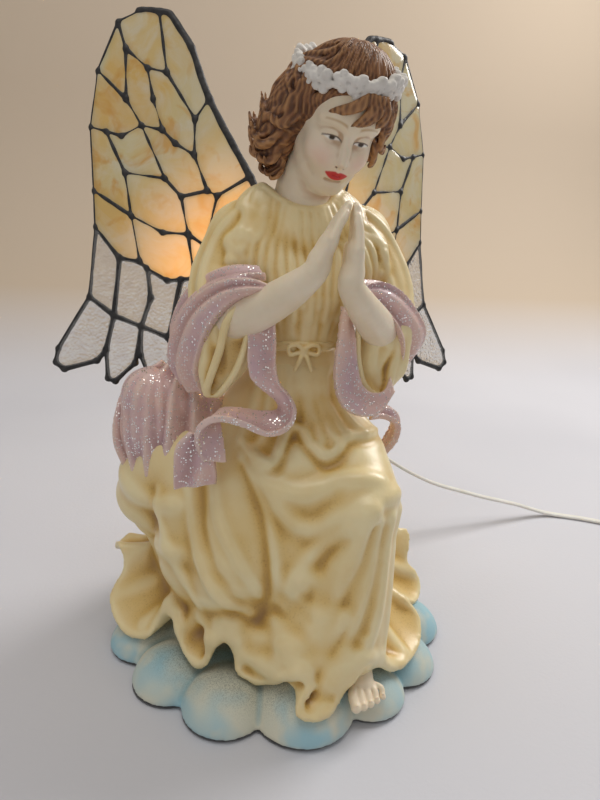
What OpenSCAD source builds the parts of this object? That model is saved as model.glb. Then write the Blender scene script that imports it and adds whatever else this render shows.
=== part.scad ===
// Kneeling angel accent lamp: a painted resin figure on a cloud, with two
// stained-glass wings lit from behind by a small bulb, and a mains lead.
// Origin: centre of the flat underside. +Z is up, the figure faces -Y.
// "right" and "left" are the figure's own, so her right wing is on the -X side.

/* [Figure] */
// Height of the cloud base above the table
base_h = 27; // [24:1:30]
// Radius of the round core of the cloud base
base_core_r = 68; // [62:1:70]
// Radius of each scalloped lobe of the cloud
lobe_r = 19; // [17:1:21]
// Number of lobes round the cloud
lobe_count = 11; // [9:1:12]
// Thickness of the felt under the base
felt_t = 1.5; // [1:0.5:2]
// Number of ruffles round the hem of the gown
hem_waves = 13; // [9:1:17]
// Height of each ruffle of the hem
hem_wave_h = 3; // [1:0.5:4]

/* [Wings] */
// Angle at which each wing sweeps back from the shoulders, in degrees
wing_sweep = 27.2; // [24:0.2:30]
// Angle at which each wing leans back, in degrees
wing_lean = 11; // [9:1:13]
// Width of the came, the dark metal line between two panes
came_w = 2; // [1.5:0.25:2.5]
// Thickness of the came
came_t = 3.4; // [3:0.2:4]
// Thickness of the glass
glass_t = 2.4; // [2:0.2:2.8]

/* [Lamp] */
// Outer radius of the bulb glass
bulb_r = 11; // [10:0.5:12]
// Length of the bulb glass above its cap
bulb_len = 76; // [60:1:80]
// Outer radius of the socket sleeve
socket_r = 12; // [11:0.5:13]
// Height of the socket sleeve
socket_h = 38; // [36:1:42]

/* [Lead] */
// Width of the flat twin lead
cord_w = 5; // [4.6:0.2:5.4]
// Thickness of the flat twin lead
cord_t = 2.6; // [2.4:0.2:2.8]
// Radius to the middle of the coil's bundle of turns
coil_r = 28; // [27:0.5:30]
// Width of the coil's bundle of turns
coil_band = 16.4; // [16:0.2:17]
// Height of the coiled bundle
coil_h = 11.8; // [11.8:0.2:13]

/* [Hidden] */
slack = 0.1;          // gap left round a hole's pin
cut = 200;            // larger than anything it trims
facets = 18;          // roundness of the modelled flesh and cloth
round_facets = 48;

gown = "khaki";
skin = "antiquewhite";
pink = "thistle";
solder = "#2a2a2c";
brass = "darkkhaki";
steel = "silver";

// Wings ------------------------------------------------------------------
wing_root = [0, -37, 0];    // where both wings' planes cross the ground line
// Panes are outlined in the wing's own plane: first number outwards from the
// middle of the figure, second number upwards.
opal_panes = [
    [[84, 300], [89, 301], [83, 274], [67, 253], [61, 262], [72, 285]],
    [[89, 301], [98, 302], [110, 297], [105, 285], [93, 276], [83, 274]],
    [[110, 297], [119, 275], [103, 262], [105, 285]],
    [[105, 285], [103, 262], [94, 250], [83, 248], [89, 262], [93, 276]],
    [[93, 276], [89, 262], [83, 248], [76, 242], [66, 237], [67, 253], [83, 274]],
    [[119, 275], [121, 249], [104, 245], [94, 250], [103, 262]],
    [[61, 262], [67, 253], [66, 237], [58, 221], [53, 219], [38, 228]],
    [[94, 250], [83, 248], [76, 242], [66, 237], [58, 221], [71, 218], [80, 226]],
    [[104, 245], [94, 250], [80, 226], [101, 228], [112.5, 247]],
    [[121, 249], [112.5, 247], [101, 228], [96, 208], [117, 219]],
    [[101, 228], [80, 226], [71, 218], [66, 201], [79, 201], [96, 208]],
    [[71, 218], [58, 221], [53, 219], [57, 196], [66, 201]],
    [[117, 219], [96, 208], [90, 187], [101, 188], [115, 202]],
    [[96, 208], [79, 201], [66, 201], [61, 181], [75, 179], [86, 184], [90, 187]],
    [[66, 201], [57, 196], [61, 181]],
    [[53, 219], [38, 228], [27, 207], [40, 197], [57, 196]],
    [[57, 196], [40, 197], [45, 178], [61, 181]],
    [[40, 197], [27, 207], [29, 186], [45, 178]]
];
clear_panes = [
    [[115, 202], [101, 188], [102, 160], [116, 168]],
    [[101, 188], [90, 187], [86, 184], [83, 170], [87, 156], [102, 160]],
    [[86, 184], [75, 179], [68, 180], [72, 152], [87, 156], [83, 170]],
    [[68, 180], [61, 181], [45, 178], [52, 151], [72, 152]],
    [[45, 178], [29, 186], [38, 157], [52, 151]],
    [[116, 168], [102, 160], [105, 143], [110, 137], [128, 131], [133, 134], [132, 141]],
    [[102, 160], [87, 156], [89, 138], [99, 128], [103, 129], [105, 143]],
    [[87, 156], [72, 152], [66, 136], [72, 127], [78, 127], [86, 142]],
    [[72, 152], [52, 151], [50, 137], [57, 127], [61, 127], [66, 136]]
];
tab_holes = [[31, 196], [33, 188]];

// Puts a flat drawing, and whatever stands on it, into her left wing's plane.
module in_left_wing() {
    translate(wing_root) rotate([0, 0, wing_sweep]) rotate([90 - wing_lean, 0, 0]) children();
}

module in_right_wing() {
    mirror([1, 0, 0]) in_left_wing() children();
}

module slab(z0, thickness) {
    translate([0, 0, z0]) linear_extrude(thickness) children();
}

module panes(list) {
    for (p = list) slab(-glass_t / 2, glass_t) offset(delta = -came_w / 2) polygon(p);
}

module came() {
    slab(-came_t / 2, came_t) difference() {
        offset(delta = came_w / 2) for (p = concat(opal_panes, clear_panes)) polygon(p);
        for (p = concat(opal_panes, clear_panes)) offset(delta = -came_w / 2) polygon(p);
    }
}

module wing_tab() {
    slab(-came_t / 2 - 1, 1) difference() {
        translate([28, 182]) square([20, 20]);
        for (h = tab_holes) translate(h) circle(1.6, $fn = round_facets);
    }
}

module right_wing_came() { color(solder) in_right_wing() came(); }
module left_wing_came() { color(solder) in_left_wing() came(); }
module right_wing_opal_glass() { color("moccasin") in_right_wing() panes(opal_panes); }
module left_wing_opal_glass() { color("moccasin") in_left_wing() panes(opal_panes); }
module right_wing_clear_glass() { color("lightgray") in_right_wing() panes(clear_panes); }
module left_wing_clear_glass() { color("lightgray") in_left_wing() panes(clear_panes); }
module right_wing_tab() { color(brass) in_right_wing() wing_tab(); }
module left_wing_tab() { color(brass) in_left_wing() wing_tab(); }

ear_back = -came_t / 2 - 3;     // back face of the bracket's ears, behind the wing
bar_y = 2.5;                    // front face of the bracket's upright bar
bar_z = 178;
bar_h = 24;
bracket_screw_z = [184, 196];

module bracket_ear() {
    slab(ear_back, 2) difference() {
        translate([18, 182]) square([20, 20]);
        for (h = tab_holes) translate(h) circle(1.6, $fn = round_facets);
    }
}

module wing_bracket() {
    color(steel) difference() {
        union() {
            translate([-5, bar_y, bar_z]) cube([10, 10, bar_h]);
            in_left_wing() bracket_ear();
            in_right_wing() bracket_ear();
        }
        for (z = bracket_screw_z) translate([0, -cut / 2, z]) rotate([-90, 0, 0])
            cylinder(r = 1.6, h = cut, $fn = round_facets);
    }
}

module bracket_screws() {
    color(steel) for (z = bracket_screw_z) translate([0, bar_y + 10, z]) rotate([-90, 0, 0]) {
        cylinder(r = 2.5, h = 2, $fn = round_facets);
        translate([0, 0, -20]) cylinder(r = 1.5, h = 20, $fn = round_facets);
    }
}

module one_wing_screw() {
    translate([0, 0, -came_t / 2]) mirror([0, 0, 1]) {
        cylinder(r = 1.5, h = 6, $fn = round_facets);
        translate([0, 0, 3]) cylinder(r = 3.2, h = 2.4, $fn = 6);
    }
}

module wing_screws() {
    color(steel) for (h = tab_holes) {
        in_left_wing() translate(h) one_wing_screw();
        in_right_wing() translate(h) one_wing_screw();
    }
}

// Modelled figure ----------------------------------------------------------
module ball(p) {
    translate([p[0], p[1], p[2]]) sphere(p[3], $fn = facets);
}

// A smooth limb through balls given as [x, y, z, radius].
module limb(balls) {
    for (i = [0 : len(balls) - 2]) hull() {
        ball(balls[i]);
        ball(balls[i + 1]);
    }
}

// Keeps what lies between two heights.
module between(low, high) {
    intersection() {
        children();
        translate([-cut, -cut, low]) cube([2 * cut, 2 * cut, high - low]);
    }
}

lobe_ring = base_core_r + 2;
base_mid = [3, -2];

module cloud_base() {
    color("lightsteelblue") difference() {
        between(felt_t, cut) union() {
            translate([base_mid[0], base_mid[1], felt_t])
                cylinder(r = base_core_r, h = base_h - felt_t, $fn = round_facets);
            for (i = [0 : lobe_count - 1]) {
                a = (i + 0.3) * 360 / lobe_count;
                translate([base_mid[0] + lobe_ring * cos(a),
                           base_mid[1] + lobe_ring * sin(a) * 0.93, base_h - lobe_r + 2 * sin(3 * a)])
                    sphere(lobe_r, $fn = round_facets);
            }
        }
        translate([2, 50, 0]) cylinder(r = 24, h = base_h + 10, $fn = round_facets);
    }
}

module felt_pad() {
    color("dimgray") cylinder(r = base_core_r + 6, h = felt_t, $fn = round_facets);
}

cloth_z = 36;         // where the skirt and the train stand on the spread hem
waist_z = 140;

module gown_skirt() {
    color(gown) between(cloth_z, waist_z) {
        limb([[6, -12, 138, 22], [6, -12, 118, 27]]);
        limb([[14, -16, 112, 25], [23, -50, 96, 18], [26, -58, 62, 16], [27, -62, 30, 15]]);
        limb([[-4, -14, 112, 26], [-22, -38, 70, 24], [-28, -44, 40, 22]]);
        limb([[-28, -44, 40, 22], [-34, 2, 40, 22]]);
        hull() {
            ball([4, -10, 112, 24]);
            translate([-2, -10, cloth_z - 1]) cylinder(r = 50, h = 2, $fn = facets);
        }
    }
}

// Hem: a thin ruffled sheet that spreads over the cloud. The edge's radius and
// height follow these two curves round the figure.
hem_mid = [4, -6];
hem_steps = 78;
function hem_reach(a) = 76 + 7 * cos(a) - 4 * sin(a) - 3 * cos(3 * a);
function hem_edge_z(a) = 22 - 9 * cos(a + 50) + hem_wave_h * sin(hem_waves * a);
function hem_point(a, share, z) = [
    hem_mid[0] + share * hem_reach(a) * cos(a),
    hem_mid[1] + share * hem_reach(a) * sin(a) * 0.96, z];
function hem_ring(share, rise) = [
    for (i = [0 : hem_steps - 1])
        let (a = i * 360 / hem_steps)
        hem_point(a, share + 0.03 * share * sin(hem_waves * a), hem_edge_z(a) * share + rise)];

// A closed solid from stacked rings of equal length, capped at both ends.
module rings_solid(rings) {
    n = len(rings[0]);
    m = len(rings);
    sides = [for (k = [0 : m - 2]) for (i = [0 : n - 1]) let (j = (i + 1) % n)
        [k * n + i, k * n + j, (k + 1) * n + j, (k + 1) * n + i]];
    polyhedron(
        points = [for (r = rings) each r],
        faces = concat(sides, [[for (i = [n - 1 : -1 : 0]) i]], [[for (i = [0 : n - 1]) (m - 1) * n + i]]),
        convexity = 6);
}

module gown_hem() {
    color(gown) rings_solid([
        [for (i = [0 : hem_steps - 1]) hem_point(i * 360 / hem_steps, 0.5, base_h)],
        hem_ring(0.95, -2.5), hem_ring(1, 0), hem_ring(0.95, 4.5),
        [for (i = [0 : hem_steps - 1]) hem_point(i * 360 / hem_steps, 0.5, 40)]]);
}

module gown_train() {
    color(gown) between(cloth_z, waist_z) difference() {
        union() {
            limb([[-52, 4, 96, 22], [-56, 8, 66, 19], [-54, 8, 40, 18]]);
            limb([[-44, 22, 80, 24], [-20, 40, 62, 26], [-20, 46, 40, 26]]);
            limb([[38, 26, 60, 20], [44, 24, 38, 22]]);
        }
        at_lamp(0) cylinder(r = mount_r, h = cut, $fn = round_facets);
    }
}

module bodice() {
    color(gown) between(waist_z, cut + waist_z) difference() {
        union() {
            hull() { ball([-1, -14, 143, 17]); ball([15, -14, 143, 17]); ball([5, -18, 176, 18]); }
            hull() { ball([-9, -15, 176, 17]); ball([20, -15, 176, 17]); ball([5, -13, 196, 16]); }
            limb([[-9, -15, 176, 16], [-16, -12, 196, 14]]);
            limb([[20, -15, 176, 16], [27, -12, 198, 14]]);
            limb([[-16, -12, 196, 13], [10, -14, 206, 11], [27, -12, 198, 13]]);
        }
        translate([-cut / 2, bar_y, 150]) cube([cut, cut, cut]);
    }
}

module waist_tie() {
    color(gown) translate([7, -14, 150]) {
        difference() {
            cylinder(r = 25, h = 3, $fn = round_facets);
            translate([0, 0, -1]) cylinder(r = 21, h = 5, $fn = round_facets);
        }
        translate([-5, -24, 1]) sphere(4, $fn = round_facets);
    }
}

module right_sleeve() {
    color(gown) limb([[-22, -11, 197, 13], [-31, -16, 180, 13], [-30, -24, 158, 14]]);
}

module left_sleeve() {
    color(gown) limb([[32, -11, 199, 12], [40, -18, 182, 12], [40, -26, 160, 13]]);
}

// One forearm with its hand, from the elbow to the fingertips.
module arm(elbow, wrist, side) {
    limb([[elbow[0], elbow[1], elbow[2], 8], [wrist[0], wrist[1], wrist[2], 5]]);
    hull() {
        translate(wrist) sphere(4.2, $fn = facets);
        translate([4.5 + side * 2.6, -62, 200]) sphere(2.6, $fn = facets);
        translate([4.5 + side * 2.6, -69, 199]) sphere(2.6, $fn = facets);
    }
    limb([[4.5 + side * 2.4, -62, 199, 2.3], [7 + side * 2.2, -60, 210, 1.8]]);
}

module right_arm() { color(skin) arm([-26, -30, 163], [-1, -64, 187], -1); }
module left_arm() { color(skin) arm([38, -32, 162], [10, -64, 184], 1); }

module head_shape() {
    hull() {
        ball([15, -22, 250, 18]);
        ball([9, -44, 228, 8]);
    }
    limb([[11, -14, 208, 9], [13, -22, 236, 9]]);
}

module head() { color(skin) head_shape(); }

module hair() {
    color("sienna") difference() {
        union() {
            limb([[17, -17, 252, 21.5], [14, -8, 240, 18]]);
            limb([[3, -32, 254, 9], [-6, -18, 243, 11], [-10, -14, 234, 9], [-4, -12, 226, 8]]);
            limb([[28, -32, 255, 9], [34, -18, 246, 9], [32, -14, 237, 7]]);
            limb([[14, -4, 240, 15], [10, -4, 228, 10]]);
        }
        head_shape();
        ball([11, -54, 236, 19]);
    }
}

crown_r = 22;
blossom_count = 15;
module flower_crown() {
    color("whitesmoke") translate([19, -19, 263]) rotate([22, 3, 0]) {
        rotate_extrude($fn = round_facets) translate([crown_r, 0]) circle(2.2, $fn = round_facets);
        for (i = [0 : blossom_count - 1]) rotate([0, 0, i * 360 / blossom_count])
            translate([crown_r + 1, 0, 0]) sphere(4.2, $fn = round_facets);
    }
}

module bare_foot() {
    color(skin) {
        limb([[27, -60, 22, 7], [27, -74, 19, 6]]);
        for (i = [0 : 4]) ball([22 + 2.6 * i, -79 + 0.5 * i, 16.5, 2.4 - 0.2 * i]);
    }
}

module shawl_right() {
    color(pink) {
        limb([[-36, -24, 176, 9], [-38, -26, 160, 11], [-22, -36, 146, 10], [-8, -40, 160, 7]]);
        limb([[-22, -36, 146, 10], [-12, -38, 132, 7]]);
    }
}

module shawl_ribbon() {
    color(pink) limb([[-10, -44, 150, 5], [-6, -48, 132, 7], [-16, -48, 120, 8],
        [-34, -40, 112, 8], [-46, -34, 108, 8], [-42, -36, 98, 6]]);
}

module shawl_left() {
    color(pink) {
        limb([[46, -22, 176, 7], [46, -32, 160, 8], [34, -40, 140, 9], [30, -38, 128, 7]]);
        limb([[46, -32, 160, 8], [26, -42, 158, 6]]);
        limb([[40, -8, 130, 12], [42, 0, 116, 10]]);
    }
}

module shawl_rear() {
    color(pink) limb([[-58, -3, 116, 19], [-48, -5, 122, 15], [-34, -9, 121, 13], [-30, 24, 98, 16]]);
}

// Lamp ---------------------------------------------------------------------
lamp_at = [2, 50];
mount_r = 18;
mount_top = 92;
pipe_r = 4.9;
pipe_z = 66;
nut_h = 5;
socket_z = 99;
cap_r = 5.9;
cap_z = socket_z + 15.3;
cap_h = 18;
outlet_from = [2, 50, 84];     // the outlet's bore starts at the middle of the pipe
exit_to = [50, 72, 80];        // where the lead leaves the strain relief
relief_l = 24;                 // length of the strain relief outside the mount
exit_from = exit_to - relief_l * (exit_to - outlet_from) / norm(exit_to - outlet_from);

module at_lamp(z) { translate([lamp_at[0], lamp_at[1], z]) children(); }

// Runs children along the line from one point to another, starting at the first.
module along(p, q) {
    d = q - p;
    translate(p) rotate([0, acos(d[2] / norm(d)), atan2(d[1], d[0])]) children();
}

module lamp_mount() {
    color(gown) difference() {
        union() {
            at_lamp(base_h) cylinder(r = mount_r, h = mount_top - base_h, $fn = round_facets);
            along(outlet_from, exit_from) cylinder(r = 8, h = norm(exit_from - outlet_from), $fn = round_facets);
        }
        at_lamp(10) cylinder(r = pipe_r + slack, h = cut, $fn = round_facets);
        along(outlet_from, exit_from) cylinder(r = 3.5, h = 60, $fn = round_facets);
        at_lamp(0) cylinder(r = mount_r - 3, h = 64, $fn = round_facets);
    }
}

module lamp_pipe() {
    color(steel) at_lamp(pipe_z) difference() {
        cylinder(r = pipe_r, h = socket_z + 4 - pipe_z, $fn = round_facets);
        translate([0, 0, -1]) cylinder(r = 3, h = cut, $fn = round_facets);
        translate(outlet_from - [lamp_at[0], lamp_at[1], pipe_z]) along([0, 0, 0], exit_to - outlet_from)
            cylinder(r = 2.9, h = 20, $fn = round_facets);
    }
}

module pipe_nut() {
    color(steel) at_lamp(mount_top) difference() {
        cylinder(r = 8.5, h = nut_h, $fn = 6);
        translate([0, 0, -1]) cylinder(r = pipe_r, h = cut, $fn = round_facets);
    }
}

module socket_sleeve() {
    color("#e8e2d0") at_lamp(socket_z) difference() {
        cylinder(r = socket_r, h = socket_h, $fn = round_facets);
        translate([0, 0, 2]) cylinder(r = socket_r - 1.6, h = cut, $fn = round_facets);
        translate([0, 0, -1]) cylinder(r = pipe_r, h = cut, $fn = round_facets);
    }
}

module socket_insulator() {
    color("ivory") at_lamp(socket_z + 4) difference() {
        cylinder(r = socket_r - 1.6, h = 8, $fn = round_facets);
        translate([0, 0, -1]) cylinder(r = 1.5, h = 20, $fn = round_facets);
    }
}

module screw_shell() {
    color(brass) at_lamp(socket_z + 12) difference() {
        cylinder(r = cap_r + 1.4, h = 20, $fn = round_facets);
        translate([0, 0, 1]) cylinder(r = cap_r + 0.6, h = cut, $fn = round_facets);
        translate([0, 0, -1]) cylinder(r = 3.5, h = cut, $fn = round_facets);
    }
}

module centre_contact() {
    color(brass) at_lamp(socket_z + 5) {
        cylinder(r = 1.5, h = 8, $fn = round_facets);
        translate([0, 0, 7]) cylinder(r = 2.5, h = 1, $fn = round_facets);
    }
}

module bulb_cap() {
    color(brass) at_lamp(cap_z) difference() {
        union() {
            translate([0, 0, -2]) cylinder(r1 = 2, r2 = 3.6, h = 2, $fn = round_facets);
            cylinder(r = cap_r, h = cap_h, $fn = round_facets);
        }
        translate([0, 0, 1.5]) cylinder(r = cap_r - 0.5, h = cut, $fn = round_facets);
    }
}

glass_z = cap_z + cap_h;
module bulb_glass() {
    color("#ffe6b0") at_lamp(glass_z) rotate_extrude($fn = round_facets) difference() {
        bulb_outline(bulb_r);
        bulb_outline(bulb_r - 0.9);
    }
}

// Half outline of the tubular glass: a short neck, a straight wall and a dome.
module bulb_outline(r) {
    intersection() {
        union() {
            square([cap_r, 6]);
            translate([0, 1]) polygon([[0, 0], [cap_r - bulb_r + r, 0], [r, 12], [r, bulb_len - bulb_r], [0, bulb_len - bulb_r]]);
            translate([0, bulb_len - bulb_r]) circle(r, $fn = round_facets);
        }
        translate([0, r - bulb_r + 0.9]) square([cut, cut]);
    }
}

module bulb_filament() {
    color(steel) at_lamp(glass_z + 1) {
        cylinder(r = 3, h = 14, $fn = round_facets);
        for (x = [-2, 2]) translate([x, 0, 13]) cylinder(r = 0.5, h = 32, $fn = 12);
        translate([-3, 0, 44]) rotate([0, 90, 0]) cylinder(r = 0.6, h = 6, $fn = 12);
    }
}

// Lead -----------------------------------------------------------------------
module strain_relief() {
    color("ivory") along(exit_from, exit_to) difference() {
        union() {
            cylinder(r1 = 6.5, r2 = 4, h = relief_l, $fn = round_facets);
            translate([0, 0, -6]) cylinder(r = 3.4, h = 7, $fn = round_facets);
        }
        translate([0, 0, -7]) cylinder(r = 2.7, h = 40, $fn = round_facets);
    }
}

// Middle of the lead from the strain relief to the coil.
cord_route = [
    [50, 72, 80], [60, 75.3, 77], [70, 76, 72], [79, 77.5, 66.5], [88, 78.5, 60.5],
    [104, 81, 50], [123, 84, 39.5], [137, 86, 33.5], [150, 87.5, 29], [170, 90, 22],
    [188, 92, 16.5], [204, 94, 11.5], [218, 95, 6.5], [229, 95, 3],
    [240, 92, 1.5], [253, 86, 1.4], [266, 78, 1.4], [274, 72.8, 2],
    [283, 67, 4], [300, 56, 4], [317, 45, 4], [326, 39.2, 2], [337, 32, 1.4], [352, 22.5, 1.4]
];
coil_at = [334, -6];
coil_out = coil_r + 5.5;        // middle of the outermost turn
tail_route = [
    [coil_at[0] + coil_out, coil_at[1] + 4, 9.6], [coil_at[0] + coil_out, coil_at[1] - 6, 9.4],
    [coil_at[0] + coil_out, coil_at[1] - 16, 8.8], [coil_at[0] + coil_out, coil_at[1] - 26, 8]
];
plug_at = [coil_at[0] + coil_out, coil_at[1] - 26, 8];

// Ring of 8 points round the flat twin lead's outline, square to its run.
function lead_ring(p, dir) =
    let (side = [dir[1], -dir[0], 0] / norm([dir[0], dir[1]]), up = cross(side, dir))
    [for (i = [0 : 7]) let (a = 22.5 + 45 * i)
        p + side * (cord_w / 2 * cos(a)) / cos(22.5) + up * (cord_t / 2 * sin(a)) / cos(22.5)];

function heading(route, i) =
    let (d = route[min(i + 1, len(route) - 1)] - route[max(i - 1, 0)]) d / norm(d);

module lead(route) {
    rings_solid([for (i = [0 : len(route) - 1]) lead_ring(route[i], heading(route, i))]);
}

module lamp_cord() { color("white") lead(cord_route); }
module cord_tail() { color("white") lead(tail_route); }

module cord_coil() {
    color("white") translate([coil_at[0], coil_at[1], 0]) rotate_extrude($fn = round_facets)
        translate([coil_r - coil_band / 2, 0]) square([coil_band, coil_h]);
}

module coil_tie() {
    color("black") translate([coil_at[0] - 2, coil_at[1] - coil_r, 0]) difference() {
        translate([0, -coil_band / 2 - 1.3, 0]) cube([4, coil_band + 2.6, coil_h + 1]);
        translate([-1, -coil_band / 2 - 0.3, -1]) cube([6, coil_band + 0.6, coil_h + 1.1]);
    }
}

// In-line rotary switch, lying on the lead with its wheel showing at one side.
switch_at = [300, 56];
switch_turn = -33;
switch_l = 48;
switch_w = 20;
switch_h = 15;
wheel_r = 8;
wheel_off = 7.5;       // from the middle of the switch to the wheel's axis

module at_switch() { translate([switch_at[0], switch_at[1], 0]) rotate([0, 0, switch_turn]) children(); }

module switch_body() {
    color("ivory") at_switch() difference() {
        union() {
            translate([-switch_l / 2 + switch_w / 2, 0, 0]) cylinder(r = switch_w / 2, h = switch_h, $fn = round_facets);
            translate([switch_l / 2 - switch_w / 2, 0, 0]) cylinder(r = switch_w / 2, h = switch_h, $fn = round_facets);
            translate([-switch_l / 2 + switch_w / 2, -switch_w / 2, 0])
                cube([switch_l - switch_w, switch_w, switch_h]);
        }
        translate([0, wheel_off, 7.2]) difference() {
            cylinder(r = wheel_r + 0.6, h = 5.2, $fn = round_facets);
            cylinder(r = 1.5, h = 5.2, $fn = round_facets);
        }
    }
}

module switch_wheel() {
    color("ivory") at_switch() translate([0, wheel_off, 7.6]) difference() {
        cylinder(r = wheel_r, h = 4.4, $fn = round_facets);
        for (i = [0 : 15]) rotate([0, 0, i * 22.5]) translate([wheel_r + 0.4, 0, -1])
            cylinder(r = 0.9, h = 7, $fn = round_facets);
        translate([0, 0, -1]) cylinder(r = 1.6, h = 7, $fn = round_facets);
    }
}

plug_w = 24;
plug_l = 27;
plug_t = 16;
blade_gap = 12.7;       // between the middles of the two blades
module plug_body() {
    color("ivory") translate(plug_at) rotate([90, 0, 0]) difference() {
        union() {
            translate([-plug_w / 2, -plug_t / 2, 8]) cube([plug_w, plug_t, plug_l - 8]);
            cylinder(r1 = 4.5, r2 = 7.5, h = 8.5, $fn = round_facets);
        }
        translate([0, 0, -1]) cylinder(r = 0.6, h = 3, $fn = round_facets);
    }
}

module plug_blades() {
    color(brass) for (s = [-1, 1])
        translate([plug_at[0] + s * blade_gap / 2 - 0.75, plug_at[1] - plug_l - 17, plug_at[2] - 3.2])
            cube([1.5, 17, 6.4]);
}

cloud_base();
felt_pad();
gown_skirt();
gown_hem();
gown_train();
bodice();
waist_tie();
right_sleeve();
left_sleeve();
right_arm();
left_arm();
head();
hair();
flower_crown();
bare_foot();
shawl_right();
shawl_ribbon();
shawl_left();
shawl_rear();
right_wing_came();
left_wing_came();
right_wing_opal_glass();
left_wing_opal_glass();
right_wing_clear_glass();
left_wing_clear_glass();
right_wing_tab();
left_wing_tab();
wing_bracket();
bracket_screws();
wing_screws();
lamp_mount();
lamp_pipe();
pipe_nut();
socket_sleeve();
socket_insulator();
screw_shell();
centre_contact();
bulb_cap();
bulb_glass();
bulb_filament();
strain_relief();
lamp_cord();
cord_coil();
cord_tail();
coil_tie();
switch_body();
switch_wheel();
plug_body();
plug_blades();
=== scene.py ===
import math

import bpy
import numpy as np
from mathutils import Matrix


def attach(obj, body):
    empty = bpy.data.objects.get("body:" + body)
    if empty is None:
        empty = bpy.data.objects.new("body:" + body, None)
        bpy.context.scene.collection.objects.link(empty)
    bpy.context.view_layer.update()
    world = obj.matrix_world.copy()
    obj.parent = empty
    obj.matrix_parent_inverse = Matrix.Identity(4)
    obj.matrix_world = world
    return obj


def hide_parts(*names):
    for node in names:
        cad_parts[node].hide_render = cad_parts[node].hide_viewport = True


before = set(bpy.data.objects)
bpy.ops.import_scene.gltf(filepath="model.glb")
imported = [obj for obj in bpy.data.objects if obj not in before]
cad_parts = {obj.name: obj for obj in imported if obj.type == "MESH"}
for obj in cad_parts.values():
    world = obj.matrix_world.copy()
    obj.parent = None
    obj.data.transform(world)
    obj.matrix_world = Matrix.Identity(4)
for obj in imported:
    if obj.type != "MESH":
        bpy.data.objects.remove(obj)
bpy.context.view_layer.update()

import openvdb
from mathutils import Matrix, Vector

MM = 0.001
lamp_at = (2.0, 50.0)      # the upright line through the lamp's foot, pipe and bulb
FAR = 1.0e3          # distance given to cells that no shape has reached


# ---------------------------------------------------------------- materials
class Shader:
    """A node material, built a node at a time."""

    def __init__(self, name):
        self.material = bpy.data.materials.new(name)
        self.material.use_nodes = True
        self.nodes = self.material.node_tree.nodes
        self.links = self.material.node_tree.links
        self.bsdf = self.nodes["Principled BSDF"]
        self.place = self.add("ShaderNodeTexCoord").outputs["Object"]

    def add(self, kind, **settings):
        node = self.nodes.new(kind)
        for key, value in settings.items():
            setattr(node, key, value)
        return node

    def join(self, source, target):
        self.links.new(source, target)

    def attribute(self, name):
        return self.add("ShaderNodeAttribute", attribute_name=name).outputs["Fac"]

    def noise(self, scale, detail=3.0, roughness=0.55, distortion=0.0):
        node = self.add("ShaderNodeTexNoise")
        node.inputs["Scale"].default_value = scale
        node.inputs["Detail"].default_value = detail
        node.inputs["Roughness"].default_value = roughness
        node.inputs["Distortion"].default_value = distortion
        self.join(self.place, node.inputs["Vector"])
        return node.outputs["Fac"]

    def cells(self, scale, feature="F1"):
        node = self.add("ShaderNodeTexVoronoi", feature=feature)
        node.inputs["Scale"].default_value = scale
        self.join(self.place, node.inputs["Vector"])
        return node

    def ramp(self, source, low, high, start=0.0, end=1.0):
        node = self.add("ShaderNodeMapRange", clamp=True)
        for key, value in zip(("From Min", "From Max", "To Min", "To Max"), (low, high, start, end)):
            node.inputs[key].default_value = value
        self.join(source, node.inputs["Value"])
        return node.outputs["Result"]

    def times(self, a, b):
        node = self.add("ShaderNodeMath", operation="MULTIPLY")
        self.join(a, node.inputs[0])
        if isinstance(b, (int, float)):
            node.inputs[1].default_value = b
        else:
            self.join(b, node.inputs[1])
        return node.outputs[0]

    def mix(self, amount, a, b):
        """Blends two colours; each is a tuple or another node's output."""
        node = self.add("ShaderNodeMix", data_type="RGBA")
        self.join(amount, node.inputs["Factor"])
        for socket, value in ((node.inputs[6], a), (node.inputs[7], b)):
            if isinstance(value, tuple):
                socket.default_value = (*value, 1.0)
            else:
                self.join(value, socket)
        return node.outputs[2]

    def bump(self, height, distance, strength=1.0):
        node = self.add("ShaderNodeBump")
        node.inputs["Distance"].default_value = distance
        node.inputs["Strength"].default_value = strength
        self.join(height, node.inputs["Height"])
        if self.bsdf.inputs["Normal"].links:
            self.join(self.bsdf.inputs["Normal"].links[0].from_socket, node.inputs["Normal"])
        self.join(node.outputs["Normal"], self.bsdf.inputs["Normal"])

    def finish(self, colour=None, roughness=None, **constants):
        if colour is not None:
            if isinstance(colour, tuple):
                self.bsdf.inputs["Base Color"].default_value = (*colour, 1.0)
            else:
                self.join(colour, self.bsdf.inputs["Base Color"])
        if roughness is not None:
            if isinstance(roughness, (int, float)):
                self.bsdf.inputs["Roughness"].default_value = roughness
            else:
                self.join(roughness, self.bsdf.inputs["Roughness"])
        for key, value in constants.items():
            self.bsdf.inputs[key.replace("_", " ")].default_value = value
        return self.material


# ---------------------------------------------------------------- modelling clay
def unit(v):
    v = np.asarray(v, float)
    return v / (np.linalg.norm(v) + 1e-12)


def smooth_path(points, spacing):
    """Points along a Catmull-Rom curve through rows of numbers, about one spacing apart."""
    p = np.asarray(points, float)
    p = np.vstack([2 * p[0] - p[1], p, 2 * p[-1] - p[-2]])
    out = []
    for i in range(1, len(p) - 2):
        steps = max(2, int(np.linalg.norm(p[i + 1, :3] - p[i, :3]) / spacing))
        t = np.arange(steps)[:, None] / steps
        a, b, c, d = p[i - 1], p[i], p[i + 1], p[i + 2]
        out.append(0.5 * (2 * b + (c - a) * t + (2 * a - 5 * b + 4 * c - d) * t**2
                          + (3 * b - a - 3 * c + d) * t**3))
    return np.vstack(out + [p[-2:-1]])


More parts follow.
